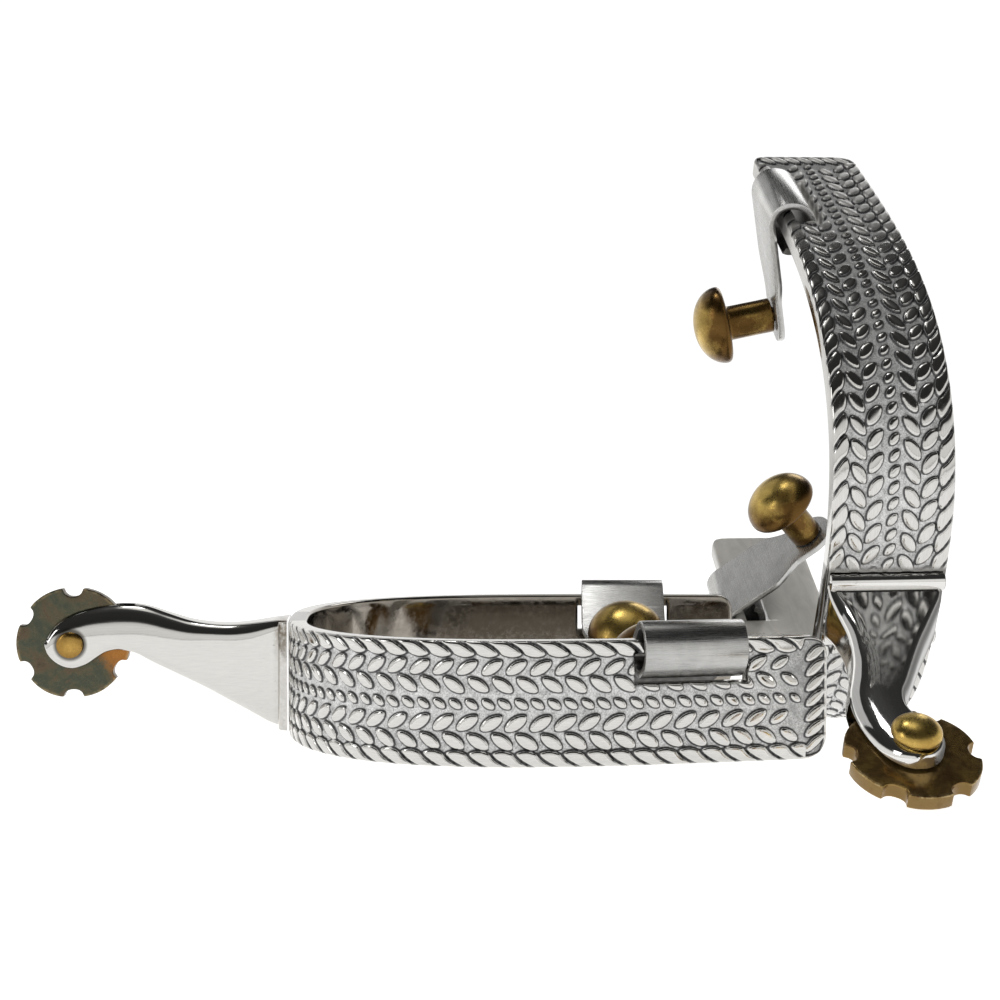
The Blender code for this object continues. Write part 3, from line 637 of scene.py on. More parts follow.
def band_piece(tag, spec):
    step = 0.262
    L, H, T, er = HALF_LEN, BAND_H, BAND_T, EDGE
    s_half = spread_stations([0.0, 6.6, SLOT_S - SLOT_LEN / 2, SLOT_S + SLOT_LEN / 2, L - TIP_R_LOW, L - er], step)
    inset = [0.0] * len(s_half)
    for deg in (22.5, 45.0, 67.5, 90.0):
        s_half.append(L - er + er * math.sin(math.radians(deg)))
        inset.append(er * (1 - math.cos(math.radians(deg))))
    s_abs = np.array(list(reversed(s_half)) + s_half[1:])
    ins = np.array(list(reversed(inset)) + inset[1:])
    side = np.array([-1.0] * len(s_half) + [1.0] * (len(s_half) - 1))
    # one cross-section: outer face upwards, top edge, inner face downwards, bottom edge
    zo = spread_stations([er, SLOT_Z0, SLOT_Z1, H - er], step)
    zi = spread_stations([er, SLOT_Z0, SLOT_Z1, H - er], 1.6)
    sec = []                                   # (z, depth, share of the relief)
    for z in zo:
        sec.append((z, 0.0, 1.0))
    degs = (18, 36, 54, 72, 90)
    for d in degs:
        a = math.radians(d)
        sec.append((H - er + er * math.sin(a), er * (1 - math.cos(a)), math.cos(a) ** 1.5 if d < 90 else 0.0))
    sec.append((H, T / 2, 0.0))
    for d in reversed(degs):
        a = math.radians(d)
        sec.append((H - er + er * math.sin(a), T - er * (1 - math.cos(a)), 0.0))
    in0 = len(sec)
    for z in reversed(zi):
        sec.append((z, T, 0.0))
    for d in degs:
        a = math.radians(d)
        sec.append((er - er * math.sin(a), T - er * (1 - math.cos(a)), 0.0))
    sec.append((0.0, T / 2, 0.0))
    for d in reversed(degs):
        a = math.radians(d)
        sec.append((er - er * math.sin(a), er * (1 - math.cos(a)), math.cos(a) ** 1.5 if d < 90 else 0.0))
    sec = np.array(sec)
    M, N = len(sec), len(s_abs)
    Z = np.broadcast_to(sec[:, 0], (N, M)).copy()
    D = np.broadcast_to(sec[:, 1], (N, M)).copy()
    share = np.broadcast_to(sec[:, 2], (N, M)).copy()
    S = np.broadcast_to(s_abs[:, None], (N, M)).copy()
    I = ins[:, None]
    Z = I + Z * (H - 2 * I) / H
    leaf = carving(S, Z)
    # smooth landing under the shank's foot and the polished rim round the slot
    heel = np.clip((7.3 - S) / 0.5, 0.0, 1.0)
    dx = np.abs(S - SLOT_S) - SLOT_LEN / 2
    dz = np.maximum(SLOT_Z0 - Z, Z - SLOT_Z1)
    off = np.where((dx > 0) & (dz > 0), np.hypot(np.maximum(dx, 0), np.maximum(dz, 0)), np.maximum(dx, dz))
    wall = np.clip(leaf / 0.34, 0.0, 1.0)
    wall = np.sqrt(np.maximum(1.0 - (1.0 - wall) ** 2, 0.0))
    crown = np.clip(leaf / 0.95, 0.0, 1.0)
    up = 0.86 * wall + 0.14 * (1.0 - (1.0 - crown) ** 2)
    moat = np.exp(-((leaf + 0.16) / 0.14) ** 2)
    depth = RELIEF * (1.0 - up) + 0.07 * moat
    depth = depth * (1.0 - heel)
    roll = np.clip(0.32 - np.maximum(off, 0.0), 0.0, 0.32)
    rim = 0.32 - np.sqrt(np.maximum(0.32 ** 2 - roll ** 2, 0.0))
    endfade = np.clip(1.0 - I / er, 0.0, 1.0)
    D = D + depth * share * endfade + np.where((share > 0.99) & (S > 20), rim, 0.0)
    D = I + D * (T - 2 * I) / T
    rim_in = (share < 0.01) & (sec[:, 1][None, :] > T - 0.01) & (off < 0.01)
    D = np.where(rim_in, D - 0.12, D)
    plain = np.clip(1.0 - share * endfade * 1.0, 0.0, 1.0) ** 1.5
    plain = np.maximum(plain, heel)
    plain = np.maximum(plain, np.where((share > 0.99) & (S > 20), np.clip((0.30 - off) / 0.22, 0, 1), 0.0))
    # rounded corners of the ends, seen from the side
    for R, low in ((TIP_R_LOW, True), (TIP_R_TOP, False)):
        a = np.clip((S - (L - R)) / R, 0.0, 1.0)
        b = np.clip(((R - Z) if low else (Z - (H - R))) / R, 0.0, 1.0)
        both = (a > 0) & (b > 0)
        a2 = a * np.sqrt(1 - b * b / 2)
        b2 = b * np.sqrt(1 - a * a / 2)
        S = np.where(both, L - R + R * a2, S)
        Z = np.where(both, (R - R * b2) if low else (H - R + R * b2), Z)
    low_t, high_t = curve_table(spec["spread"][0]), curve_table(spec["spread"][1])
    P = np.zeros((N, M, 3))
    for sg, tab in ((-1.0, low_t), (1.0, high_t)):
        m = side == sg
        x, y, ang = at(tab, S[m])
        P[m, :, 0] = x + np.sin(ang) * D[m]
        P[m, :, 1] = sg * (y - np.cos(ang) * D[m])
        P[m, :, 2] = Z[m]
    idx = np.arange(N * M).reshape(N, M)
    keep = np.ones((N - 1, M), bool)
    z_arr = np.array(zo)
    jo0, jo1 = int(np.argmin(abs(z_arr - SLOT_Z0))), int(np.argmin(abs(z_arr - SLOT_Z1)))
    zi_r = np.array(list(reversed(zi)))
    ji1, ji0 = in0 + int(np.argmin(abs(zi_r - SLOT_Z1))), in0 + int(np.argmin(abs(zi_r - SLOT_Z0)))
    faces = []
    for sg in (-1.0, 1.0):
        cand = np.where(side == sg)[0]
        ia = cand[np.argmin(abs(s_abs[cand] - (SLOT_S - SLOT_LEN / 2)))]
        ib = cand[np.argmin(abs(s_abs[cand] - (SLOT_S + SLOT_LEN / 2)))]
        i0, i1 = min(ia, ib), max(ia, ib)
        keep[i0:i1, jo0:jo1] = False
        keep[i0:i1, ji1:ji0] = False
        for i in range(i0, i1):
            faces.append((idx[i, jo0], idx[i + 1, jo0], idx[i + 1, ji0], idx[i, ji0]))
            faces.append((idx[i, jo1], idx[i, ji1], idx[i + 1, ji1], idx[i + 1, jo1]))
        for i, turn in ((i0, False), (i1, True)):
            A = [idx[i, j] for j in range(jo0, jo1 + 1)]
            B = [idx[i, j] for j in range(ji0, ji1 - 1, -1)]
            zz = zipper(A, B, [sec[j, 0] for j in range(jo0, jo1 + 1)], [sec[j, 0] for j in range(ji0, ji1 - 1, -1)])
            faces += [tuple(reversed(f)) for f in zz] if turn else zz
    ii, jj = np.nonzero(keep)
    j2 = (jj + 1) % M
    quads = np.stack([idx[ii, jj], idx[ii + 1, jj], idx[ii + 1, j2], idx[ii, j2]], 1)
    faces += [tuple(q) for q in quads.tolist()]
    # end caps: outer run and inner run, both rising
    jb = M - len(degs) - 1                      # middle of the bottom edge
    jt = len(zo) + len(degs)                    # middle of the top edge
    for i, turn in ((0, False), (N - 1, True)):
        A = [(jb + k) % M for k in range((jt - jb) % M + 1)]
        B = [j for j in range(jb, jt - 1, -1)]
        zz = zipper([idx[i, j] for j in A], [idx[i, j] for j in B], [sec[j, 0] for j in A], [sec[j, 0] for j in B])
        faces += [tuple(reversed(f)) for f in zz] if turn else zz
    name = tag + "_heel_band_carved"
    me = bpy.data.meshes.new(name)
    me.from_pydata((P.reshape(-1, 3) * MM).tolist(), [], [tuple(int(v) for v in f) for f in faces])
    me.update()
    for key, arr in (("leaf", leaf * endfade + (1 - endfade)), ("plain", plain)):
        me.attributes.new(key, 'FLOAT', 'POINT').data.foreach_set("value", arr.reshape(-1).astype(np.float32))
    # (distance along the band, depth, height) keeps the grain running along it
    flow = np.stack([S * side[:, None], D, Z], 2).reshape(-1).astype(np.float32)
    me.attributes.new("loc", 'FLOAT_VECTOR', 'POINT').data.foreach_set("vector", flow)
    bm = bmesh.new()
    bm.from_mesh(me)
    bmesh.ops.recalc_face_normals(bm, faces=bm.faces)
    if bm.calc_volume(signed=True) < 0:
        bmesh.ops.reverse_faces(bm, faces=bm.faces)
    open_edges = sum(1 for e in bm.edges if len(e.link_faces) != 2)
    bm.to_mesh(me)
    bm.free()
    print("band", tag, len(me.polygons), "faces, open edges", open_edges)
    return me


# ---- shank ------------------------------------------------------------------
SHANK = [  # x, lower z, upper z, half width, radius of the long edges
    (6.0, .4, 18.8, 6.4, 0.7), (2.5, .4, 18.8, 6.1, 0.7), (.6, .5, 18.8, 5.5, 0.7), (-.6, .9, 18.75, 5.0, 0.8),
    (-2.0, 1.1, 18.75, 4.6, 0.9), (-3.5, 1.6, 18.6, 4.35, 1.1), (-5.4, 2.6, 18.35, 4.15, 1.3), (-7.6, 3.8, 18.1, 4.0, 1.5),
    (-10.2, 5.2, 17.95, 3.9, 1.7), (-13.4, 7.0, 18.15, 3.85, 1.8), (-16.7, 8.7, 18.75, 3.8, 1.8), (-20.1, 10.4, 19.85, 3.8, 1.7),
    (-23.2, 12.0, 20.95, 3.8, 1.5), (-25.5, 13.3, 21.45, 3.8, 1.3), (-28.1, 13.95, 21.62, 3.8, 1.1), (-30.2, 13.65, 21.5, 3.8, 1.0),
    (-31.7, 12.8, 21.3, 3.8, 1.0), (-33.2, 11.75, 20.98, 3.8, 1.0), (-34.6, 11.15, 20.55, 3.8, 1.0), (-36.1, 10.9, 20.0, 3.8, 1.0),
    (-37.6, 11.25, 19.2, 3.8, 1.0), (-38.9, 12.1, 18.2, 3.8, 0.9), (-39.85, 13.3, 17.0, 3.8, 0.7), (-40.25, 14.5, 15.9, 3.8, 0.5),
]


def spline_rows(rows, sub):
    rows = np.array(rows, float)
    n = len(rows)
    out = []
    for i in range(n - 1):
        p0, p1, p2, p3 = rows[max(i - 1, 0)], rows[i], rows[i + 1], rows[min(i + 2, n - 1)]
        for k in range(sub):
            t = k / sub
            out.append(0.5 * ((2 * p1) + (-p0 + p2) * t + (2 * p0 - 5 * p1 + 4 * p2 - p3) * t ** 2 + (-p0 + 3 * p1 - 3 * p2 + p3) * t ** 3))
    out.append(rows[-1])
    return np.array(out)


CREST = [(-40.3, 3.4, 2.2), (-36.0, 4.5, 2.9), (-30.0, 5.4, 3.2), (-25.0, 5.2, 3.0), (-20.0, 4.2, 2.6), (-13.0, 2.6, 1.7),
         (-6.0, 2.8, 1.8), (-2.0, 1.8, 1.2), (0.0, 1.2, 0.9), (6.0, 1.0, 0.8)]   # x, how far the upper edge rolls down, and in


def shank_piece(tag, spec):
    rows = spline_rows(SHANK, 5)
    verts, faces, rings = [], [], []
    arc = 14
    cx_, cz_, cy_ = (np.array(c) for c in zip(*CREST))
    roll_z = np.minimum(np.interp(rows[:, 0], cx_, cz_), rows[:, 2] - rows[:, 1] - rows[:, 4] - 0.25)
    roll_y = np.minimum(np.interp(rows[:, 0], cx_, cy_), 0.88 * rows[:, 3])
    near = np.exp(-((rows[:, 0][:, None] - rows[:, 0][None, :]) / 1.9) ** 2)
    near /= near.sum(1, keepdims=True)
    roll_z, roll_y = near @ roll_z, near @ roll_y
    for row, (x, z0, z1, w, r) in enumerate(rows):
        zc, hz = 0.5 * (z0 + z1), 0.5 * (z1 - z0)
        r = min(r, 0.95 * hz, 0.95 * w)
        ring = []
        pts = []
        # the upper edges roll over like a quarter of an ellipse, the lower ones are tighter
        rz = min(float(roll_z[row]), 2 * hz - r - 0.1)
        ry = min(float(roll_y[row]), 0.92 * w)
        corners = ((w - ry, hz - rz, 0, ry, rz), (-(w - ry), hz - rz, 90, ry, rz), (-(w - r), -(hz - r), 180, r, r), (w - r, -(hz - r), 270, r, r))
        for cy, cz, a0, py, pz in corners:
            for k in range(arc + 1):
                a = math.radians(a0 + 90.0 * k / arc)
                pts.append((cy + py * math.cos(a), cz + pz * math.sin(a)))
        for y, z in pts:
            ring.append(len(verts))
            verts.append((x * MM, y * MM, (zc + z) * MM))
        rings.append(ring)
    n = len(rings[0])
    for a, b in zip(rings, rings[1:]):
        for k in range(n):
            faces.append((a[k], a[(k + 1) % n], b[(k + 1) % n], b[k]))
    faces.append(tuple(rings[0]))
    faces.append(tuple(reversed(rings[-1])))
    ob = mesh_object(tag + "_shank_work", verts, faces)
    tidy(ob.data)
    low_t, high_t = curve_table(spec["spread"][0]), curve_table(spec["spread"][1])
    tools = []
    for sd, tab in ((-1, low_t), (1, high_t)):
        x, y, ang = (float(v) for v in at(tab, FOOT_S))
        me = turned("bar", [(0.0, BAND_H - 0.45), (FOOT_BAR_R - 0.3, BAND_H - 0.45), (FOOT_BAR_R - 0.08, BAND_H - 0.55), (FOOT_BAR_R, BAND_H - 0.8),
                            (FOOT_BAR_R, 0.8), (FOOT_BAR_R - 0.08, 0.55), (FOOT_BAR_R - 0.3, 0.45), (0.0, 0.45)], 48)
        me.transform(Matrix.Translation(Vector((x - 0.3 * math.sin(ang), sd * (y + 0.3 * math.cos(ang)), 0.0)) * MM))
        bar = bpy.data.objects.new("bar", me)
        bpy.context.scene.collection.objects.link(bar)
        boolean(ob, bar, 'UNION')
        tools.append(bar)
    outline = []
    for i in range(-50, 51):
        tab = low_t if i < 0 else high_t
        x, y, ang = (float(v) for v in at(tab, abs(i) * 0.3))
        sg = -1 if i < 0 else 1
        outline.append((x - GAP * math.sin(ang), sg * (y + GAP * math.cos(ang))))
    outline.append((outline[-1][0] + 8.0, outline[-1][1] + 6.0))
    outline.append((outline[0][0] + 8.0, outline[0][1] - 6.0))
    me = flat_mesh("band_space", [outline], 20.0)
    me.transform(Matrix.Translation(Vector((0, 0, 10.0)) * MM))
    cut = bpy.data.objects.new("band_space", me)
    bpy.context.scene.collection.objects.link(cut)
    boolean(ob, cut)
    tools.append(cut)
    reach = ROWEL_R + 0.9
    me = bpy.data.meshes.new("fork")
    bm = bmesh.new()
    bmesh.ops.create_cube(bm, size=1.0)
    bm.to_mesh(me)
    bm.free()
    me.transform(Matrix.Translation(Vector((PIN_X + reach - 15.0, 0, PIN_Z)) * MM) @ Matrix.Diagonal((30 * MM, FORK_GAP * MM, 40 * MM, 1)))
    fork = bpy.data.objects.new("fork", me)
    bpy.context.scene.collection.objects.link(fork)
    boolean(ob, fork)
    tools.append(fork)
    me = turned("hole", [(0.0, 15), (PIN_HOLE_R, 15), (PIN_HOLE_R, -15), (0.0, -15)], 64)
    me.transform(Matrix.Translation(Vector((PIN_X, 0, PIN_Z)) * MM) @ Matrix.Rotation(math.pi / 2, 4, 'X'))
    hole = bpy.data.objects.new("hole", me)
    bpy.context.scene.collection.objects.link(hole)
    boolean(ob, hole)
    tools.append(hole)
    bv = ob.modifiers.new("edges", 'BEVEL')
    bv.width = 0.22 * MM
    bv.segments = 3
    bv.limit_method = 'ANGLE'
    bv.angle_limit = math.radians(40)
    bv.use_clamp_overlap = True
    me = evaluated(ob, tag + "_shank_polished")
    drop(ob)
    for o in tools:
        drop(o)
    tidy(me, 1e-7)
    # share of each normal that points down, which drives the painted shade under the shank
    nrm = np.empty(len(me.vertices) * 3, np.float32)
    me.vertices.foreach_get("normal", nrm)
    me.attributes.new("under", 'FLOAT', 'POINT').data.foreach_set("value", np.clip(-nrm[2::3], 0, 1).astype(np.float32))
    return me


# ---- small pieces -------------------------------------------------------------
def rowel_mesh(tag):
    pts = []
    lobe = 2 * math.pi / NOTCHES
    half_open = math.asin(NOTCH_R / ROWEL_R)
    lip = 0.45
    for k in range(NOTCHES):
        c = math.pi / 6 + k * lobe
        a0 = c + half_open + lip / ROWEL_R
        a1 = c + lobe - half_open - lip / ROWEL_R
        n = 28
        wob = 0.10 * jitter(7, float(k), 1)
        for i in range(n + 1):
            t = i / n
            a = a0 + (a1 - a0) * t
            r = ROWEL_R - 0.05 + 0.05 * math.sin(math.pi * t) + wob * math.sin(math.pi * t) - abs(wob)
            pts.append((r * math.cos(a), r * math.sin(a)))
        c2 = c + lobe
        depth = 1.4 * (1.0 + 0.12 * float(jitter(9, float(k))))
        m = 18
        # lip rolls over, then a round-bottomed scoop
        for i in range(m + 1):
            t = -1.0 + 2.0 * i / m
            r = ROWEL_R - 0.12 - depth * math.sqrt(max(1.0 - abs(t) ** 2.4, 0.0))
            a = c2 + t * half_open
            pts.append((r * math.cos(a), r * math.sin(a)))
    n = 64
    hole = [(ROWEL_HOLE_R * math.cos(2 * math.pi * i / n), ROWEL_HOLE_R * math.sin(2 * math.pi * i / n)) for i in range(n)]
    me = flat_mesh(tag, [pts, hole], ROWEL_T / 2, 0.22, 3)
    # cut the broad faces up into smaller triangles
    bm = bmesh.new()
    bm.from_mesh(me)
    bmesh.ops.triangulate(bm, faces=bm.faces)
    for _ in range(2):
        long = [e for e in bm.edges if e.calc_length() > 1.0 * MM]
        if not long:
            break
        bmesh.ops.subdivide_edges(bm, edges=long, cuts=1, use_grid_fill=False)
        bmesh.ops.triangulate(bm, faces=bm.faces)
    bmesh.ops.beautify_fill(bm, faces=bm.faces, edges=[e for e in bm.edges if e.calc_face_angle(1.0) < 0.02])
    bm.to_mesh(me)
    bm.free()
    add_radial(me, ROWEL_R)
    return me


def add_radial(me, full):
    co = np.empty(len(me.vertices) * 3, np.float32)
    me.vertices.foreach_get("co", co)
    co = co.reshape(-1, 3) / MM
    rad = np.hypot(co[:, 0], co[:, 1]) / full
    me.attributes.new("rad", 'FLOAT', 'POINT').data.foreach_set("value", rad.astype(np.float32))


def pin_mesh(tag):
    h = NECK_HALF + GAP
    dome = [(3.5 * math.sin(t), h + 0.35 + 2.05 * math.cos(t)) for t in np.linspace(0, math.pi / 2, 22)]
    dome[0] = (0.0, dome[0][1])
    tail = [(2.2 * math.cos(t), -h - 0.15 - 0.8 * math.sin(t)) for t in np.linspace(0, math.pi / 2, 12)]
    tail[-1] = (0.0, tail[-1][1])
    prof = dome + [(3.5, h + 0.12), (3.44, h + 0.03), (3.36, h), (PIN_R, h), (PIN_R, -h), (2.1, -h), (2.17, -h - 0.03)] + tail
    me = turned(tag, prof, 96)
    co = np.empty(len(me.vertices) * 3, np.float32)
    me.vertices.foreach_get("co", co)
    co = co.reshape(-1, 3) / MM
    rad = np.hypot(co[:, 0], co[:, 1]) / 3.5
    me.attributes.new("rad", 'FLOAT', 'POINT').data.foreach_set("value", (rad * 0.7).astype(np.float32))
    return me


def button_mesh(tag):
    hp, R = POST_LEN, BUTTON_R
    top = hp + BUTTON_HEAD
    zr = hp + 0.95
    prof = [(0.0, top)]
    for k in range(1, 40):
        t = k / 40 * math.pi / 2
        # domed crown: rounder than a circle near the rim
        r = R * math.sin(t) ** 0.94
        z = zr + (top - zr) * math.cos(t) ** 1.06
        prof.append((r, z))
    under = [(R, zr), (R - 0.03, zr - 0.3), (R - 0.16, zr - 0.58), (R - 0.42, zr - 0.82), (R - 0.9, zr - 0.98),
             (R - 1.5, zr - 1.02), (POST_R + 0.75, hp - 0.07), (POST_R + 0.35, hp - 0.15), (POST_R + 0.1, hp - 0.38),
             (POST_R, hp - 0.75), (POST_R, hp * 0.62), (POST_R - 0.02, hp * 0.3), (POST_R, 0.35), (POST_R - 0.05, 0.1),
             (POST_R - 0.15, 0.0), (RIVET_R, 0.0), (RIVET_R, -HANGER_T - GAP + 0.2), (RIVET_R - 0.15, -HANGER_T - GAP + 0.06), (0.0, -HANGER_T - GAP + 0.05)]
    me = turned(tag, prof + under, 112)
    co = np.empty(len(me.vertices) * 3, np.float32)
    me.vertices.foreach_get("co", co)
    co = co.reshape(-1, 3) / MM
    rad = np.hypot(co[:, 0], co[:, 1]) / R
    # the post and the underside have darkened more than the crown
    low = np.clip((zr - 0.2 - co[:, 2]) / 0.8, 0.0, 1.0)
    val = np.where(low > 0, np.maximum(rad ** 2.2, 0.72 * low + 0.1), rad ** 2.2)
    me.attributes.new("rad", 'FLOAT', 'POINT').data.foreach_set("value", val.astype(np.float32))
    return me


def hanger_mesh(tag, flip):
    outer, inner = [], []
    t1 = 2 * math.pi - 1.12
    n = 84
    for i in range(n + 1):
        t = t1 * i / n
        a = LOOP_U * (FULL_U if math.cos(t) < 0 else 1.0)
        b = LOOP_V * (FULL_V if math.sin(t) < 0 else 1.0)
        u, v = a * math.cos(t), b * math.sin(t)
        nu, nv = math.cos(t) / a, math.sin(t) / b
        ln = math.hypot(nu, nv)
        nu, nv = nu / ln, nv / ln
        h = HANGER_T / 2
        outer.append((u + nu * h, v + nv * h))
        inner.append((u - nu * h, v - nv * h))
    lo = -5.0
    pts = [(LOOP_U + HANGER_T / 2, lo)] + outer + list(reversed(inner)) + [(LOOP_U - HANGER_T / 2, lo)]
    loop_me = flat_mesh(tag + "_loop", [pts], HANGER_LEN / 2, 0.16, 2)
    w = HANGER_LEN / 2
    left = [(-w, -3.0), (-w, -4.9)]
    # soft shoulders that sweep in to the round end
    for i in range(1, 24):
        t = i / 24
        k = max(0.0, (t - 0.42) / 0.58)
        k = k * k * (3 - 2 * k)
        left.append((-(w + (PADDLE_R - w) * k), -5.0 - (ARM_LEN - 3.2 - 5.0) * t))
    m = 36
    end = [(PADDLE_R * math.cos(math.pi + math.pi * i / m), -ARM_LEN + PADDLE_R * math.sin(math.pi + math.pi * i / m)) for i in range(m + 1)]
    right = [(-x, v) for x, v in reversed(left)]
    n = 40
    hole = [((RIVET_R + GAP) * math.cos(2 * math.pi * i / n), -ARM_LEN + (RIVET_R + GAP) * math.sin(2 * math.pi * i / n)) for i in range(n)]
    pad_me = flat_mesh(tag + "_pad", [left + end + right, hole], HANGER_T / 2, 0.16, 2)
    loop_me.transform(Matrix(((0, 0, 1, 0), (flip, 0, 0, 0), (0, 1, 0, 0), (0, 0, 0, 1))))
    pad_me.transform(Matrix.Translation(Vector((0, flip * LOOP_U, 0)) * MM) @ Matrix(((1, 0, 0, 0), (0, 0, flip, 0), (0, 1, 0, 0), (0, 0, 0, 1))))
    for me in (loop_me, pad_me):
        tidy(me)
    a = bpy.data.objects.new(tag + "_a", loop_me)
    b = bpy.data.objects.new(tag + "_b", pad_me)
    bpy.context.scene.collection.objects.link(a)
    bpy.context.scene.collection.objects.link(b)
    boolean(a, b, 'UNION')
    me = evaluated(a, tag)
    drop(a)
    drop(b)
    tidy(me, 1e-7)
    local_attr(me)
    co = np.empty(len(me.vertices) * 3, np.float32)
    me.vertices.foreach_get("co", co)
    co = co.reshape(-1, 3) / MM
    co = co.reshape(-1, 3) * np.array([1.0, flip, 1.0], np.float32)
    co[:, 2] = np.where((co[:, 2] < 0) & (co[:, 1] < LOOP_U - HANGER_T / 2 - 0.1), co[:, 2] / FULL_V, co[:, 2])
    co[:, 1] = np.where(co[:, 1] < 0, co[:, 1] / FULL_U, co[:, 1])
    me.attributes.new("curl", 'FLOAT_VECTOR', 'POINT').data.foreach_set("vector", co.reshape(-1).astype(np.float32))
    return me


# ---- put every piece on its body ------------------------------------------------
for tag, spec in SPURS.items():
    fr = spec["frame"]
    band = band_piece(tag, spec)
    finish_piece(tag + "_heel_band_carved", band, fr, tag, tag + "_heel_band", MAT_BAND[tag], 78)
    shank = shank_piece(tag, spec)
    finish_piece(tag + "_shank_polished", shank, fr, tag, tag + "_shank", MAT_SHANK[tag], 32)
    at_pin = fr @ Matrix.Translation(Vector((PIN_X, 0, PIN_Z)) * MM)
    finish_piece(tag + "_rowel_stamped", rowel_mesh(tag + "_rowel_stamped"), at_pin @ Matrix.Rotation(math.pi / 2, 4, 'X'),
                 tag + "_rowel_wheel", tag + "_rowel", MAT_ROWEL[tag], 30)
    finish_piece(tag + "_rowel_pin_turned", pin_mesh(tag + "_rowel_pin_turned"), at_pin @ Matrix.Rotation(-spec["dome"] * math.pi / 2, 4, 'X'),
                 tag, tag + "_rowel_pin", MAT_PIN[tag], 35)
    for side, label in ((-1, "near"), (1, "far")):
        tab = curve_table(spec["spread"][0 if side < 0 else 1])
        x, y, ang = (float(v) for v in at(tab, SLOT_S))
        cx, cy = x + math.sin(ang) * BAND_T / 2, y - math.cos(ang) * BAND_T / 2
        base = Matrix.Translation(Vector((cx, side * cy, 0.5 * (SLOT_Z1 + BAND_H))) * MM) @ Matrix.Rotation(side * ang, 4, 'Z')
        hang = spec["hang"][0 if side < 0 else 1]
        swing = Matrix.Rotation(math.radians(hang) * (1 if side < 0 else -1), 4, 'X')
        pivot = fr @ base @ swing
        flip = -side
        body = tag + "_swing_" + label
        finish_piece(tag + "_hanger_" + label + "_curled", hanger_mesh(tag + "_hanger_" + label, flip), pivot, body,
                     tag + "_hanger_" + label, MAT_HANGER[tag], 40)
        finish_piece(tag + "_button_" + label + "_turned", button_mesh(tag + "_button_" + label),
                     pivot @ Matrix.Translation(Vector((0, flip * (LOOP_U + HANGER_T / 2 + GAP), -ARM_LEN)) * MM)
                     @ Matrix.Rotation(math.radians(-90 * flip), 4, 'X'),
                     body, tag + "_button_" + label, MAT_BUTTON, 35)


# ---- stage ---------------------------------------------------------------------
def plane(name, pts):
    me = bpy.data.meshes.new(name)
    me.from_pydata(pts, [], [tuple(range(len(pts)))])
    ob = bpy.data.objects.new(name, me)
    bpy.context.scene.collection.objects.link(ob)
    return ob


floor = plane("floor", [(0.75 * math.cos(2 * math.pi * k / 96), 0.75 * math.sin(2 * math.pi * k / 96), -0.0002) for k in range(96)])
tf = Tree("paper")
tc = tf.node("ShaderNodeTexCoord")
fibre = tf.noise(tc.outputs["Object"], 900.0, 3, 0.5)
colour = tf.colours(fibre, [(0.3, (0.90, 0.90, 0.90)), (0.7, (0.93, 0.93, 0.93))])
tf.bsdf.inputs["Emission Color"].default_value = (1, 1, 1, 1)
tf.bsdf.inputs["Emission Strength"].default_value = 0.86
tf.bsdf.inputs["Specular IOR Level"].default_value = 0.1
floor.data.materials.append(tf.done(colour, 0.75))

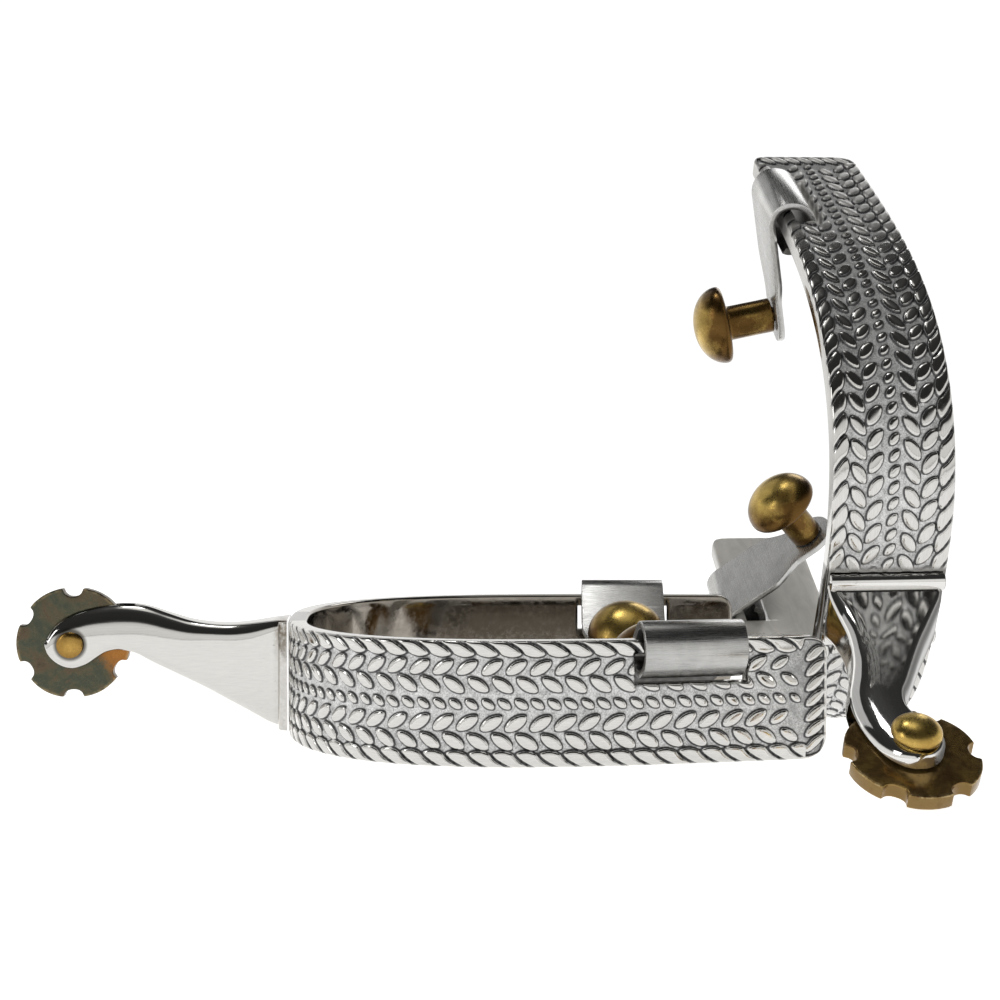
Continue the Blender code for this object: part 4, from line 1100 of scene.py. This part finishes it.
world = bpy.data.worlds.new("studio")
bpy.context.scene.world = world
world.use_nodes = True
wt = world.node_tree
bg = wt.nodes["Background"]
co = wt.nodes.new("ShaderNodeTexCoord")
sp = wt.nodes.new("ShaderNodeSeparateXYZ")
wt.links.new(co.outputs["Generated"], sp.inputs[0])
rp = wt.nodes.new("ShaderNodeValToRGB")
mp = wt.nodes.new("ShaderNodeMapRange")
mp.inputs[1].default_value, mp.inputs[2].default_value = -0.2, 1.0
wt.links.new(sp.outputs[2], mp.inputs[0])
wt.links.new(mp.outputs[0], rp.inputs[0])
els = rp.color_ramp.elements
els[0].position, els[0].color = 0.0, (0.30, 0.30, 0.30, 1)
els[1].position, els[1].color = 1.0, (1.15, 1.14, 1.10, 1)
for p, c in ((0.15, 0.70), (0.175, 0.95), (0.40, 1.00), (0.50, 0.82), (0.56, 0.07), (0.62, 0.028), (0.90, 0.035), (0.96, 0.06), (0.978, 0.12), (0.990, 0.95)):
    e = els.new(p)
    e.color = (c, c * 0.995, c * 0.98, 1)
lp = wt.nodes.new("ShaderNodeLightPath")
mx = wt.nodes.new("ShaderNodeMix")
mx.data_type = 'RGBA'
wt.links.new(lp.outputs["Is Camera Ray"], mx.inputs[0])
wt.links.new(rp.outputs[0], mx.inputs[6])
mx.inputs[7].default_value = (1.05, 1.05, 1.05, 1)
wt.links.new(mx.outputs[2], bg.inputs[0])
bg.inputs[1].default_value = 1.0


def softbox(name, loc, aim, size, power):
    li = bpy.data.lights.new(name, 'AREA')
    li.shape = 'RECTANGLE'
    li.size, li.size_y = size
    li.energy = power
    ob = bpy.data.objects.new(name, li)
    ob.location = loc
    ob.rotation_euler = (Vector(aim) - Vector(loc)).to_track_quat('-Z', 'Y').to_euler()
    bpy.context.scene.collection.objects.link(ob)
    return ob


softbox("top", (-0.10, 0.10, 0.70), (0, 0, 0.03), (0.16, 0.10), 0.30)
softbox("left", (-0.45, -0.25, 0.30), (0, 0, 0.04), (0.12, 0.22), 0.28)
softbox("back", (0.25, 0.50, 0.45), (0, 0, 0.04), (0.25, 0.20), 0.45)
softbox("side", (-0.33, 0.37, 0.43), (0.05, 0, 0.05), (0.52, 0.42), 0.36)

# ---- camera ---------------------------------------------------------------------
cam_data = bpy.data.cameras.new("camera")
cam = bpy.data.objects.new("camera", cam_data)
bpy.context.scene.collection.objects.link(cam)
cam.location = (0.011116, -0.272748, 0.04804)
cam.rotation_euler = (math.pi / 2 - 0.0313, 0.0, 0.0)
cam_data.sensor_width = 36.0
cam_data.lens = 1576.2 * 36.0 / 1000.0
cam_data.shift_x = -0.0324
cam_data.shift_y = -0.0039
cam_data.clip_start = 0.01
cam_data.clip_end = 50.0
bpy.context.scene.camera = cam
bpy.context.scene.view_settings.view_transform = 'Standard'
